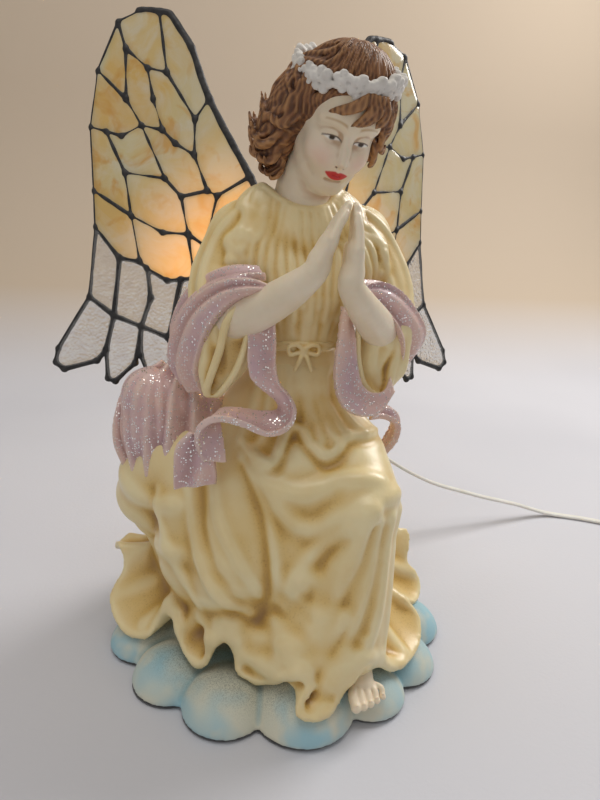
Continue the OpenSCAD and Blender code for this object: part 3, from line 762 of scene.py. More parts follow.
    # cloth evened out where those folds meet over the front
    ridges(clay, [
        [(1, -69, 67), (-5, -67, 61), (-9, -64, 55)],
        [(14, -73, 52), (10, -74, 44), (7, -75, 37)],
        [(4, -71, 52), (0, -71, 45), (-3, -69, 39)],
        [(-7, -66, 37), (-7, -66, 33), (-8, -65, 29)],
        [(-21, -60, 27), (-16, -62, 26), (-12, -63, 25)],
        [(18, -73, 36), (16, -74, 31), (13, -75, 25)]], 3.2, 7, sink=0.1)
    # folds down the back and the sides
    for i, angle in enumerate(range(8, 172, 14)):
        a = math.radians(angle)
        sway = 6 * math.sin(2.3 * i)
        line = [(4 + sx * math.cos(a + turn), 4 + sy * math.sin(a + turn), z)
                for sx, sy, z, turn in ((26, 24, 138, 0), (34, 30, 116, 0.02 * sway),
                                        (48, 44, 88, 0.04 * sway),
                                        (60, 56, 60, 0.03 * sway), (66, 62, 42, 0))]
        ridges(clay, [line], 3.0, 4, sink=0.3)
    # the tunic's edge over the lap, and its gathers from the waist
    edge = [(-24, -36, 119), (-19, -44, 114), (-13, -50, 112), (-9, -49, 116), (-6, -45, 125), (-1, -45, 128),
            (3, -50, 121), (8, -54, 117), (14, -55, 121), (20, -51, 126), (29, -47, 124), (37, -36, 121)]
    ridges(clay, [[(x, y - 3, z - 3.6) for x, y, z in edge]], 2.0, 2.5, "cut")
    ridges(clay, [edge], 1.7, 1.4, sink=0.1)
    for x, y, z in edge:
        top = (4 + (x - 4) * 0.62, -34 + 0.4 * abs(x - 4), 148)
        ridges(clay, [[top, ((top[0] + x) / 2, y + 4, (148 + z) / 2), (x, y, z + 1)]], 1.3, 2.4)
    # room for the lamp's foot
    clay.stroke([(*lamp_at, 8, 18.2), (*lamp_at, 150, 18.2)], 0, "cut", curved=False)
    clay.plane((0, 0, 151), (0, 0, 1))
    return sculpt("gown_lower", clay, gown_paint, "gown_paint", "gown_skirt", "gown_hem", "gown_train")


lower_gown()


# ---------------------------------------------------------------- cloud base and felt
base_mid = (3.0, -2.0)
# scalloped rim of the cloud: angle, reach, lobe radius
cloud_lobes = [
    (-176, 84, 19), (-148, 83, 19), (-120, 84, 20), (-90, 85.5, 23), (-62, 84, 18), (-38, 85, 18),
    (-12, 86, 19),
    (15, 87, 19), (45, 86, 20), (75, 84, 20), (105, 84, 20), (133, 85, 20), (159, 85, 19)]


def cloud_paint():
    s = Shader("cloud paint")
    hollow = s.attribute("hollow")
    soft = s.ramp(s.noise(30, 2, distortion=0.6), 0.40, 0.62)
    colour = s.mix(soft, (0.66, 0.66, 0.54), (0.34, 0.55, 0.62))
    colour = s.mix(s.ramp(s.noise(70, 2), 0.50, 0.72, 0, 0.75), colour, (0.72, 0.66, 0.50))
    # painted shade: darker blue in the creases between the lobes
    colour = s.mix(s.ramp(hollow, -0.1, -1.4, 0, 0.7), colour, (0.12, 0.30, 0.36))
    cover = s.attribute("under_hem")
    speckle = s.ramp(s.noise(2200, 2, 0.7), 0.48, 0.60)
    colour = s.mix(s.times(s.times(cover, speckle), 0.6), colour, (0.07, 0.09, 0.08))
    # painted shadow of the hem on the top of the cloud
    colour = s.mix(s.times(cover, 0.25), colour, (0.24, 0.30, 0.29))
    s.bump(s.noise(500, 4), 0.00015, 0.5)
    return s.finish(colour, s.ramp(s.noise(200, 3), 0.2, 0.8, 0.55, 0.72))


def under_hem(points):
    """One where the hem shades the cloud, fading to none down the lobes."""
    r = np.hypot(points[:, 0] - hem_mid[0], points[:, 1] - hem_mid[1])
    return np.clip((80 - r) / 16, 0, 1) ** 1.5 * np.clip((points[:, 2] - 4) / 12, 0, 1)


def cloud():
    clay = Clay((-92, -92, -3), (98, 92, 32), 0.9 * COARSE)
    clay.egg((3, -2, 2), (74, 72, 11), 4)
    for angle, reach, r in cloud_lobes:
        a = math.radians(angle)
        out = reach - r
        x, y = base_mid[0] + out * math.cos(a), base_mid[1] + 0.965 * out * math.sin(a)
        clay.egg((x, y, 0), (r, r, r * 0.84), 1.6)
        inward = out - 16
        clay.egg((base_mid[0] + inward * math.cos(a + 0.2), base_mid[1] + inward * math.sin(a + 0.2), 2),
                 (15, 15, 12), 3)
    clay.ripple(0.3, 9, 5)
    clay.plane((0, 0, 1.5), (0, 0, -1))
    clay.stroke([(*lamp_at, -20, 17.9), (*lamp_at, 40, 17.9)], 0, "cut", curved=False)
    sculpt("cloud", clay, cloud_paint(), "cloud_paint", "cloud_base", relax=2, under_hem=under_hem)


def felt_pad():
    """Thin felt that follows the cloud's foot, a little inside it. Its near-black colour also paints the
    shadow line under the cloud's foot.
    """
    s = Shader("felt")
    # near-black felt that also stands in for the shadow line under the cloud: painted shadow
    colour = s.mix(s.ramp(s.noise(1500, 3), 0.35, 0.65), (0.025, 0.026, 0.03), (0.07, 0.07, 0.075))
    s.bump(s.noise(2500, 3), 0.0003, 1.0)
    felt = s.finish(colour, 0.95, Sheen_Weight=0.4, Sheen_Roughness=0.6)
    a = np.linspace(-math.pi, math.pi, 261)[:-1]
    reach = np.full(len(a), 60.0)
    for angle, far, r in cloud_lobes:
        swing = a - math.radians(angle)
        swing = (swing + math.pi) % (2 * math.pi) - math.pi
        near = np.abs(np.sin(swing) * (far - r)) < r - 1
        side = ((far - r) * np.cos(swing)
                + np.sqrt(np.maximum((r - 0.8) ** 2 - ((far - r) * np.sin(swing)) ** 2, 0)))
        reach = np.where(near & (np.abs(swing) < 1), np.maximum(reach, side), reach)
    rows = [(0.05, 0.02), (0.985, 0.02), (1.0, 0.25), (1.0, 1.3), (0.99, 1.55), (0.05, 1.55)]
    ring = [np.column_stack([base_mid[0] + share * reach * np.cos(a),
                             base_mid[1] + share * 0.965 * reach * np.sin(a),
                             np.full(len(a), z)]) for share, z in rows]
    quads = ring_quads(len(rows), len(a))
    place(make_object("felt", np.vstack(ring), quads, felt), "figure", "felt", "felt_pad")


cloud()
felt_pad()


# ---------------------------------------------------------------- bodice and sleeves
def neckline(turn, drop=0.0, wide=1.0):
    """A point on the round neck opening; turn 0 is the front."""
    a = math.radians(turn)
    sag = 7.5 * max(math.cos(a), 0) - 1.5 * min(math.cos(a), 0)
    return (2 + 16 * wide * math.sin(a), -13 - 15 * wide * math.cos(a), 219.5 - sag - drop)


def upper_gown():
    clay = Clay((-50, -56, 128), (58, 14, 228), 0.7 * COARSE)
    clay.stroke([(4, -14, 146, 20), (4, -15, 156, 19), (4, -16, 170, 20)], 6)
    clay.egg((-5, -21, 182), (17, 16, 16), 8)
    clay.egg((16, -22, 183), (17, 16, 16), 8)
    clay.stroke([(-20, -11, 199, 12), (-6, -12, 206, 11), (5, -12, 208, 10.5), (16, -12, 207, 11),
                 (30, -11, 200, 12)], 6)
    clay.stroke([(5, -10, 190, 16), (5, -8, 160, 16)], 8)
    clay.stroke([(-12, -14, 208, 11), (2, -15, 205, 11), (15, -14, 208, 11)], 5)
    clay.egg((3, -20, 202), (18, 12, 12), 6)
    clay.egg((-15, -20, 191), (11, 11, 12), 7)
    clay.egg((25, -21, 192), (11, 11, 12), 7)
    # sleeves
    clay.stroke([(-21, -11, 197, 13), (-29, -16, 182, 12.5), (-31, -24, 170, 12), (-30, -30, 162, 10.5)], 5)
    clay.stroke([(31, -11, 199, 12.5), (39, -17, 184, 12), (41, -24, 171, 11.5), (39, -30, 162, 10.5)], 5)
    # open bell cuffs that hang from the elbows
    clay.stroke([(-33, -30, 160, 8.5), (-35, -34, 149, 6), (-36.5, -36, 139, 2.8)], 4)
    clay.stroke([(-24, -36, 160, 6.5), (-26, -37, 150, 5), (-31, -37, 141, 2.6)], 4)
    clay.stroke([(42, -30, 160, 8), (42, -34, 149, 6), (38, -36, 139.5, 3)], 4)
    clay.stroke([(33, -36, 158, 6.5), (31, -37, 149, 5), (34, -37, 140, 2.8)], 4)
    clay.stroke([(-27, -46, 158, 5), (-28, -45, 150, 4), (-32, -43, 143, 1.4)], 1.5, "cut")
    clay.stroke([(34, -46, 156, 5), (34, -45, 149, 4), (36, -43, 143, 1.4)], 1.5, "cut")
    # rims of the cuffs
    clay.stroke([(-22, -45, 177, 1.2), (-30, -44, 168.5, 1.6), (-33, -43, 156, 1.7), (-37.5, -41, 140, 1.6),
                 (-34.5, -41, 137, 1.5), (-29, -43, 144, 1.5), (-25, -44, 152.5, 1.5),
                 (-22.5, -44, 162, 1.3)], 1.2)
    clay.stroke([(22.5, -42, 165, 1.2), (23, -43, 153, 1.5), (26.5, -43.5, 142, 1.6), (34, -42.5, 137, 1.7),
                 (38.5, -40, 141, 1.6), (40, -38, 152, 1.3)], 1.2)
    # opening for the neck
    clay.stroke([(3, -17, 214, 11), (3, -14, 232, 15)], 3, "cut")
    rim = [(*neckline(t), 1.5) for t in range(0, 361, 20)]
    clay.stroke(rim, 1.5, lift=-0.2)
    # fine gathers that hang from the neckline
    for i, turn in enumerate(range(-98, 99, 8)):
        top = neckline(turn + 2 * math.sin(5 * i), 2.0, 1.12)
        spread = math.sin(math.radians(turn * 0.9))
        mid = (4 + 31 * spread, -34 + 14 * abs(spread) ** 2, 192)
        low = (4 + 26 * spread, -37 + 14 * abs(spread) ** 2, 170 + 3 * math.sin(3 * i))
        ridges(clay, [[top, ((top[0] + mid[0]) / 2, (top[1] + mid[1]) / 2 - 3, 201), mid, low]],
               1.6 + 0.3 * math.sin(7 * i), 1.3, sink=0.2)
    # gathers between the bust and the tie
    for i in range(-6, 7):
        x = 4 + 3.1 * i + 0.6 * math.sin(4 * i)
        y = -36 + 0.35 * abs(i) ** 1.7 * 0.6
        ridges(clay, [[(4 + 3.4 * i, y - 1, 176), (x, y, 166), (4 + 2.6 * i, y + 1, 155)]], 1.4, 1.6)
    # creases of the sleeves
    for side, x in ((-1, 0), (1, 9)):
        for points in (
            [(-14, -24, 208), (-24, -25, 194), (-30, -31, 180), (-29, -38, 167)],
            [(-20, -18, 210), (-32, -19, 196), (-38, -26, 180), (-36, -36, 166)],
            [(-24, -10, 211), (-38, -12, 194), (-43, -20, 178), (-41, -32, 164)],
            [(-30, -2, 200), (-41, -8, 184), (-43, -18, 168), (-40, -28, 154)]):
            ridges(clay, [[(x + px if side < 0 else x - px, py, pz) for px, py, pz in points]], 1.6, 2.4,
                   sink=0.35)
    for x in (-38, -33, 41, 46):
        ridges(clay, [[(x, -36, 164), (x, -38, 154), (x - 1, -37, 145)]], 1.5, 1.6)
    clay.plane((0, 2.4, 0), (0, 1, 0), 1)
    clay.plane((0, 0, 137), (0, 0, -1), 1)
    sculpt("gown_upper", clay, gown_paint, "gown_paint", "bodice", "right_sleeve", "left_sleeve")
    return clay


def waist_tie(cloth):
    """A thin cord round the high waist, tied in a small bow."""
    clay = Clay((-26, -46, 140), (36, 4, 162), 0.45 * COARSE)
    ring = [(4 + 24 * math.sin(a), -14 - 26 * math.cos(a), 153 + 2 * math.cos(a)) for a in
            np.radians(range(-110, 111, 10))]
    line = cloth.laid(ring, 0.3)
    clay.stroke(line, 0.8, radius=1.15)
    clay.stroke(line + np.array([0, 0, 2.0]), 0.8, radius=1.0)
    knot = cloth.laid([(1.5, -40, 154.5)], 1.2)[0]
    clay.egg(knot, (2.0, 1.8, 2.0), 0.8)
    for side in (-1, 1):
        loop = [(0, 0, 0), (3.0 * side, -0.8, 2.4), (6.2 * side, -0.4, 1.6), (5.6 * side, -0.6, -1.6),
                (0, 0, 0)]
        clay.stroke(knot + np.array(loop), 0.6, radius=0.95)
        tail = [(0, 0, 0), (1.6 * side, -1.2, -3.5), (3.4 * side, -0.6, -8)]
        clay.stroke(np.column_stack([knot + np.array(tail), [0.9, 1.0, 0.8]]), 0.6)
    sculpt("tie_and_bow", clay, gown_paint, "gown_paint", "waist_tie")


upper = upper_gown()
waist_tie(upper)


# ---------------------------------------------------------------- skin
def skin_paint(name, features=False):
    """Pale ivory resin with painted shade in its hollows; on the face it also carries painted brows, eyes,
    lips and a faint blush.
    """
    s = Shader(name)
    hollow = s.attribute("hollow")
    colour = s.mix(s.ramp(s.noise(70, 3), 0.35, 0.7), (0.84, 0.73, 0.56), (0.78, 0.66, 0.48))
    # painted shade: the hollows darken towards brown
    colour = s.mix(s.ramp(hollow, -0.3, -1.6, 0, 0.8), colour, (0.50, 0.32, 0.18))
    if features:
        colour = s.mix(s.times(s.attribute("blush"), 0.45), colour, (0.86, 0.52, 0.42))
        colour = s.mix(s.times(s.attribute("brow"), 0.75), colour, (0.48, 0.30, 0.12))
        colour = s.mix(s.attribute("eye_white"), colour, (0.85, 0.82, 0.76))
        colour = s.mix(s.attribute("iris"), colour, (0.035, 0.018, 0.010))
        colour = s.mix(s.attribute("lash"), colour, (0.06, 0.035, 0.022))
        colour = s.mix(s.attribute("lips"), colour, (0.62, 0.035, 0.035))
    s.bump(s.noise(900, 3), 0.00008, 0.4)
    return s.finish(colour, s.ramp(s.noise(180, 3), 0.2, 0.8, 0.34, 0.48), Subsurface_Weight=0.18,
                    Subsurface_Radius=(0.004, 0.002, 0.0012), Coat_Weight=0.15, Coat_Roughness=0.3)


plain_skin = skin_paint("skin")


def hand(clay, wrist, tip, side):
    """A hand with its fingers together, palm towards the other hand; side is -1 or 1."""
    wrist, tip = np.array(wrist, float), np.array(tip, float)
    d = unit(tip - wrist)
    reach = np.linalg.norm(tip - wrist)
    lean = math.degrees(math.atan2(d[0], d[2]))
    palm = np.array([math.cos(math.radians(lean)), 0, -math.sin(math.radians(lean))])
    wide = np.cross(d, palm)
    back = palm * side
    clay.egg(wrist + d * 7.5 + back * 0.6, (3.3, 5.2, 8.2), 2.5, turn=(0, lean, 0))
    clay.egg(wrist + d * 12 + back * 0.2, (2.7, 5.6, 4.5), 2, turn=(0, lean, 0))
    for across, length in ((-4.3, 0.86), (-1.5, 0.97), (1.4, 1.0), (4.2, 0.93)):
        side_way = wide * across
        knuckle = wrist + d * 12.5 + side_way + back * 0.5
        end = wrist + d * reach * length + side_way * 0.55 - back * 0.3
        middle = (knuckle + end) / 2 + back * 0.35
        clay.stroke([(*knuckle, 1.95), (*middle, 1.7), (*(middle * 0.4 + end * 0.6), 1.6), (*end, 1.2)], 0.7)
    thumb = [wrist + d * 4 + wide * 4.0, wrist + d * 9 + wide * 6.6,
             wrist + d * 14.5 + wide * 6.8 - back * 0.2]
    clay.stroke(np.column_stack([thumb, [2.4, 1.9, 1.4]]), 1.2)


def arms():
    for name, node, elbow, wrist, tip, side in (
        ("right_forearm", "right_arm",
         [(-34, -27, 162, 8.5), (-29, -33, 165, 8.2), (-20, -43, 171, 7.8), (-10, -54, 179.5, 6.6)],
         (-2, -62, 188), (9, -61, 212), -1),
        ("left_forearm", "left_arm",
         [(40, -27, 161, 8), (35, -34, 163, 7.8), (27, -46, 169, 7.2), (18, -57, 176.5, 6.0)],
         (11, -64, 184), (12.2, -61.5, 211.5), 1)):
        clay = Clay((-44, -76, 150), (52, -18, 216), 0.4 * COARSE)
        wrist = np.array(wrist, float)
        clay.stroke([*elbow, (*wrist, 4.7), (*(wrist + unit(np.subtract(tip, wrist)) * 4), 4.3)], 2.5)
        hand(clay, wrist, tip, side)
        sculpt(name, clay, plain_skin, "skin_paint", node, relax=2)


# ---------------------------------------------------------------- head
head_at = np.array([12.0, -33.0, 244.3])
head_up = unit((0.17, -0.50, 0.85))
head_front = unit(np.array([0.10, -1, 0]) - head_up * np.dot(head_up, (0.10, -1, 0)))
head_size = 0.9
head_side = np.cross(head_up, head_front)
head_frame = np.column_stack([head_side, head_front, head_up])


def on_head(*rows):
    """Rows of side, front, up (and maybe radius) measured from the middle of the skull."""
    rows = np.asarray(rows, float)
    return np.column_stack([rows[:, :3] * head_size @ head_frame.T + head_at, rows[:, 3:] * head_size])


def head_turn():
    m = Matrix(head_frame.tolist())
    e = m.to_euler("XYZ")
    return tuple(math.degrees(v) for v in (e.x, e.y, e.z))


# an egg's x, y, z axes turned to the head's side, front and up
tilt = head_turn()


def head():
    clay = Clay((-14, -66, 194), (44, 4, 276), 0.36 * COARSE)

    def lump(side, front, up, radii, k=3.0, mode="add", both=False):
        for s in (-1, 1) if both else (1,):
            clay.egg(on_head((side * s, front, up))[0], np.multiply(radii, head_size), k, mode, tilt)

    def rope(rows, k=1.0, mode="add", both=False):
        for s in (-1, 1) if both else (1,):
            clay.stroke(on_head(*[(row[0] * s, *row[1:]) for row in rows]), k, mode)

    lump(0, -2, 1, (17, 20, 18))
    lump(0, 6.5, 5, (13.5, 11.5, 13), 5)
    lump(0, 5.5, -9, (12.8, 11.8, 16), 5)
    rope([(11, -1, -13, 4.5), (8.4, 6, -20, 4.6), (4, 10.5, -24.5, 4.2)], 5, both=True)
    lump(0, 12.2, -24.6, (4.8, 4.4, 4.0), 4)
    lump(7.2, 11.2, -10.5, (5.4, 5.0, 5.4), 5, both=True)
    lump(0, 12.6, -16.5, (6.6, 5.6, 6.4), 4)
    lump(6.5, 19.8, -2.6, (3.8, 3.0, 2.6), 3.2, "cut", True)
    lump(6.4, 13.9, -3.0, (3.8, 3.3, 3.0), 0.8, both=True)
    rope([(10.4, 13.0, -3.6, 0.5), (8.6, 15.7, -2.0, 0.8), (6.4, 16.9, -1.4, 0.9), (4.2, 16.4, -2.2, 0.8),
          (2.9, 15.4, -3.4, 0.4)], 0.8, both=True)
    rope([(9.6, 13.9, -4.2, 0.4), (6.6, 16.2, -5.2, 0.5), (3.6, 15.8, -4.4, 0.4)], 0.8, both=True)
    rope([(11, 13.6, 2.6, 1.4), (7, 17.0, 4.0, 1.7), (2.6, 17.6, 2.6, 1.6)], 3.5, both=True)
    rope([(0, 17.0, 1.8, 1.7), (0, 18.9, -3.5, 1.6), (0, 21.0, -8.6, 1.9), (0, 21.4, -10.6, 2.1)], 2.2)
    lump(2.2, 18.4, -11.2, (1.5, 2.0, 1.4), 1.2, both=True)
    lump(1.3, 20.0, -12.9, (0.7, 0.9, 0.7), 0.6, "cut", True)
    rope([(-4.8, 16.0, -16.7, 0.5), (-1.9, 18.2, -15.8, 1.0), (0, 18.5, -16.2, 0.95), (1.9, 18.2, -15.8, 1.0),
          (4.8, 16.0, -16.7, 0.5)], 0.8)
    rope([(-3.8, 16.4, -17.6, 0.5), (0, 18.2, -18.2, 1.25), (3.8, 16.4, -17.6, 0.5)], 0.8)
    rope([(-5.0, 17.2, -16.9, 0.3), (0, 19.9, -17.1, 0.35), (5.0, 17.2, -16.9, 0.3)], 0.5, "cut")
    rope([(-3, 17.6, -20.6, 0.6), (0, 18.2, -21.0, 0.9), (3, 17.6, -20.6, 0.6)], 2.0, "cut")
    # neck, with the hollow of the throat, and the skin inside the neckline
    skull_base = on_head((0, -7, -12))[0]
    clay.stroke([(*skull_base, 11), (4, -18, 223, 11), (3, -15, 213, 12), (4, -12, 200, 13)], 4)
    clay.egg((2.5, -14, 206), (19, 15, 9), 6)
    for side in (-1, 1):
        clay.stroke([(6 + 7 * side, -21, 226, 1.4), (3 + 3 * side, -24, 213, 1.0)], 3)

    def local(points):
        return (points - head_at) @ head_frame / head_size

    def soft(d, edge=0.22):
        return np.clip(0.5 - d / (2 * edge), 0, 1)

    def facing(p):
        return (p[:, 1] > 10) & (p[:, 2] > -26)

    def almond(p):
        side = np.abs(p[:, 0]) - 6.5
        top = -2.55 - 0.085 * side**2 - 0.02 * side
        low = -4.35 + 0.05 * side**2
        return np.maximum(np.maximum(p[:, 2] - top, low - p[:, 2]), np.abs(side) - 3.4)

    def eye_white(points):
        p = local(points)
        return soft(almond(p)) * facing(p)

    def iris(points):
        p = local(points)
        r = np.hypot(np.abs(p[:, 0]) - 6.4, p[:, 2] + 3.35)
        return soft(np.maximum(r - 1.25, almond(p))) * facing(p)

    def lash(points):
        p = local(points)
        side = np.abs(p[:, 0]) - 6.5
        line = np.abs(p[:, 2] - (-2.5 - 0.085 * side**2 - 0.03 * side)) - 0.28
        return soft(np.maximum(line, np.abs(side + 0.1) - 3.9)) * facing(p)

    def brow(points):
        p = local(points)
        side = np.abs(p[:, 0])
        arch = 3.9 - 0.055 * (side - 7.2) ** 2
        return soft(np.maximum(np.abs(p[:, 2] - arch) - 0.55 + 0.04 * (side - 3), np.abs(side - 7.0) - 4.2),
                    0.4) \
            * facing(p)

    def lips(points):
        p = local(points)
        side = np.abs(p[:, 0])
        top = -15.0 - 0.055 * side**2 - 0.5 * np.exp(-(side / 0.7) ** 2)
        low = -19.3 + 0.10 * side**2
        mouth = soft(np.maximum(np.maximum(p[:, 2] - top, low - p[:, 2]), side - 4.9))
        return mouth * facing(p) * (p[:, 1] > 14.5)

    def blush(points):
        p = local(points)
        d = np.hypot((np.abs(p[:, 0]) - 8.5) / 5, (p[:, 2] + 11) / 4.5)
        return np.exp(-d**2) * facing(p)

    sculpt("face_and_neck", clay, skin_paint("face", True), "skin_paint", "head", relax=2,
           eye_white=eye_white, iris=iris,
           lash=lash, brow=brow, lips=lips, blush=blush)


# ---------------------------------------------------------------- hair
def hair_paint():
    s = Shader("hair paint")
    hollow = s.attribute("hollow")
    colour = s.mix(s.ramp(s.noise(110, 4), 0.3, 0.7), (0.32, 0.135, 0.048), (0.20, 0.078, 0.027))
    # painted highlight on the raised locks
    colour = s.mix(s.ramp(hollow, 0.2, 1.3, 0, 0.6), colour, (0.52, 0.27, 0.105))
    # painted shade in the hollows
    colour = s.mix(s.ramp(hollow, 0.25, -0.8, 0, 0.95), colour, (0.060, 0.020, 0.009))
    strands = s.attribute("strands")
    # painted shade in the grooves between the combed strands, painted highlight along their crests
    colour = s.mix(s.ramp(strands, 0.1, -0.8, 0, 0.75), colour, (0.075, 0.026, 0.011))
    colour = s.mix(s.ramp(strands, 0.3, 0.9, 0, 0.35), colour, (0.55, 0.30, 0.12))
    s.bump(strands, 0.0006, 0.8)
    s.bump(s.noise(700, 4), 0.0002, 0.6)
    return s.finish(colour, s.ramp(s.noise(160, 3), 0.2, 0.8, 0.42, 0.58), Coat_Weight=0.15,
                    Coat_Roughness=0.4)


def combed(points):
    """Fine lines that run down all round from the top of the head, from -1 to 1."""
    side, front, up = ((points - head_at) @ head_frame / head_size).T
    turn = np.arctan2(side, front + 4)
    wander = np.sin(0.35 * up + 3 * turn) + 0.7 * np.sin(0.6 * up - 5 * turn)
    lines = 0.6 * np.sin(70 * turn + 2.5 * wander) + 0.4 * np.sin(43 * turn - 3 * wander)
    return lines * np.clip(np.hypot(side, front + 4) / 12, 0, 1)


def hair():
    clay = Clay((-38, -68, 206), (50, 22, 284), 0.45 * COARSE)
    local = np.random.default_rng(11)

    def mass(side, front, up, radii, k=3.0, mode="add"):
        clay.egg(on_head((side, front, up))[0], np.multiply(radii, head_size), k, mode, tilt)

    def lock(rows, k=0.7, lift=None, free=0.0):
        """A strand; with lift it lies on the hair beneath, apart from the last free share of it."""
        path = smooth_path(on_head(*rows), 0.9)
        if lift is not None:
            held = np.clip((1 - np.linspace(0, 1, len(path))) / (free + 1e-3) + (free == 0), 0, 1)[:, None]
            path[:, :3] = shell.laid(path[:, :3], lift) * held + path[:, :3] * (1 - held)
        clay.stroke(path, k, curved=False)

    mass(0, -3, 4.5, (19.4, 21.5, 15.0))
    mass(0, -12, -6, (17.5, 13, 18), 5)
    mass(-1, -4.5, 8, (20.3, 21.3, 11.0), 3)
    clay.stroke(on_head((-13, 1, 11, 7.0), (-18, -3, 7, 7.6), (-20.5, -5, -1, 8.0), (-21.5, -6, -9, 8.0),
                        (-22, -8, -18, 8.2), (-20, -9, -26, 6.8), (-17.5, -9, -30, 4.5)), 4)
    clay.stroke(on_head((14, 3, 7, 5.5), (17, -2, 0, 6.4), (17.5, -4, -8, 5.4), (15, -4, -14, 4.2)), 4)
    clay.stroke(on_head((0, -17, -14, 9), (-6, -14, -22, 7), (-10, -10, -28, 4)), 4)
    mass(0.5, 15.5, -10.5, (13.8, 14, 12.0), 1.5, "cut")
    mass(0, 6, -22, (11.5, 14, 12), 2, "cut")
    shell = Clay((-38, -68, 206), (50, 22, 284), 0.45 * COARSE)
    shell.field = clay.field.copy()

    # combed strands from the parting, over the crown and down all round
    for layer, count in ((0, 48), (1, 40)):
        for i in range(count):
            turn = -180 + 360 * (i + 0.5 * layer) / count + local.uniform(-3, 3)
            rows = []
            for step, high in enumerate(np.linspace(80, -34 if abs(turn) > 60 else 22, 8)):
                sweep = turn * (0.52 + 0.48 * min(1, (80 - high) / 55)) + 3 * math.sin(step * 1.3 + i)
                a, h = math.radians(sweep), math.radians(high)
                fat = 0.95 + 0.25 * math.sin(2 * i + step) if step < 7 else 0.6
                rows.append((1.0 + 21 * math.cos(h) * math.sin(a), -3 + 23 * math.cos(h) * math.cos(a),
                             4 + 16.5 * math.sin(h), fat))
            lock(rows, 0.2, 0.2 + 0.35 * layer)

    # on the viewer's left each tier of locks falls down the side, then flicks outwards into a curl
    tiers = ((11, -8, 31.5, 1.5), (12, -18, 34.5, 1.6), (11, -26, 31.5, 1.6), (9, -33, 26.0, 1.4))
    for count, level, reach, thick in tiers:
        for i in range(count):
            front = 9 - 24 * i / (count - 1) + local.uniform(-0.6, 0.6)
            low = level + local.uniform(-1.6, 1.6)
            far = reach + local.uniform(-2.4, 1.2) - 0.02 * (front + 4) ** 2
            fat = thick * local.uniform(0.8, 1.15)
            lock([(-15, front * 0.8, low + 20, 0.8 * fat), (-20, front, low + 13, fat),
                  (-far + 8, front - 1, low + 6, fat),
                  (-far + 4.5, front - 2.5, low + 0.5, fat), (-far + 1, front - 4, low - 0.5, fat * 0.8),
                  (-far, front - 5, low + 2.2, fat * 0.35)], 0.35, 0.5, 0.45)
    # shorter curls down the other side
    for count, level, reach, thick in ((7, 1, 20.0, 1.7), (7, -6, 21.0, 1.7), (6, -12, 18.5, 1.5)):
        for i in range(count):
            front = 9 - 20 * i / (count - 1) + local.uniform(-0.8, 0.8)
            low = level + local.uniform(-1.5, 1.5)
            fat = thick * local.uniform(0.75, 1.1)
            lock([(13.5, front * 0.8, low + 12, 0.7 * fat), (17, front, low + 6, fat),
                  (18.5, front - 1, low + 1, fat),
                  (reach, front - 2.5, low - 1.5, fat * 0.8), (reach + 0.8, front - 4, low + 1, fat * 0.4)],
                 0.5)
    # curls along the nape
    for i in range(11):
        side = -15 + 3 * i
        front = -17 + 0.05 * side**2
        low = -21 + 2 * math.sin(2.4 * i)
        lock([(side, front - 4, -6, 1.8), (side, front - 5, -14, 2.3), (side - 1.5, front - 5, low, 2.0),
              (side - 2.5, front - 8, low - 3, 1.4), (side - 2.5, front - 10.5, low, 0.7)], 0.6)
    # the front hair leaves the parting and sweeps to both sides under the crown
    for i in range(13):
        spread = i / 12
        wave = 0.8 * math.sin(2.6 * i)
        lock([(4 - spread, 17 - 3 * spread, 15 + 3 * spread, 0.9),
              (-3 - 2 * spread, 18.6 - 3 * spread, 9.5 + 5.5 * spread, 1.25),
              (-9 - 3 * spread, 16.5 - 5 * spread, 4.5 + 6 * spread + wave, 1.3),
              (-14.5 - 2 * spread, 10 - 5 * spread, -1 + 6 * spread, 1.3),
              (-19, 4 - 5 * spread, -8 + 6 * spread + wave, 0.9)], 0.2, 0.9)
    for i in range(9):
        spread = i / 8
        lock([(5 + spread, 17 - 3 * spread, 15 + 3 * spread, 0.9),
              (9 + 2 * spread, 17 - 3 * spread, 8.5 + 5 * spread, 1.2),
              (13.5 + 2 * spread, 12.5 - 4 * spread, 3.5 + 5 * spread, 1.2),
              (16.5, 7 - 4 * spread, -2 + spread, 0.9)], 0.2, 0.9)
    # pointed locks over the brow, each a pair of strands
    for rows in (
        [(5.0, 17.4, 15), (3.6, 19.8, 10.5), (1.2, 20.2, 6.6), (-1.6, 20.0, 3.6)],
        [(6.8, 17.0, 15), (6.6, 19.2, 10.0), (4.0, 19.8, 6.2), (0.6, 20.0, 4.0)],
        [(2.6, 17.8, 15), (-1.4, 19.4, 10.5), (-5.6, 18.4, 7.4), (-10.0, 16.0, 4.5)],
        [(1.6, 17.8, 15), (-3.4, 18.6, 10.5), (-8.6, 16.8, 6.6), (-13.0, 12.6, 2.0)],
        [(8.6, 16.4, 15), (10.4, 17.6, 10.0), (10.2, 17.6, 6.4), (8.4, 18.0, 4.4)]):
        for shift, fat in ((0, 1.0), (1.5, 0.85)):
            lock([(x + shift, y, z + 0.4 * shift, r * fat) for (x, y, z),
                  r in zip(rows, (1.3, 1.5, 1.3, 0.5))], 0.25)
    sculpt("hair_locks", clay, hair_paint(), "hair_paint", "hair", strands=combed)


# ---------------------------------------------------------------- crown
def flower_paint():
    s = Shader("blossom paint")
    hollow = s.attribute("hollow")
    colour = s.mix(s.ramp(s.noise(160, 3), 0.35, 0.7), (0.76, 0.73, 0.68), (0.62, 0.59, 0.54))
    # painted shade: the hollows between the petals darken
    colour = s.mix(s.ramp(hollow, 0.1, -1.2, 0, 0.8), colour, (0.22, 0.21, 0.20))
    s.bump(s.noise(900, 4), 0.0002, 0.8)
    return s.finish(colour, s.ramp(s.noise(300), 0.3, 0.7, 0.5, 0.7), Subsurface_Weight=0.1,
                    Subsurface_Radius=(0.002, 0.002, 0.002))


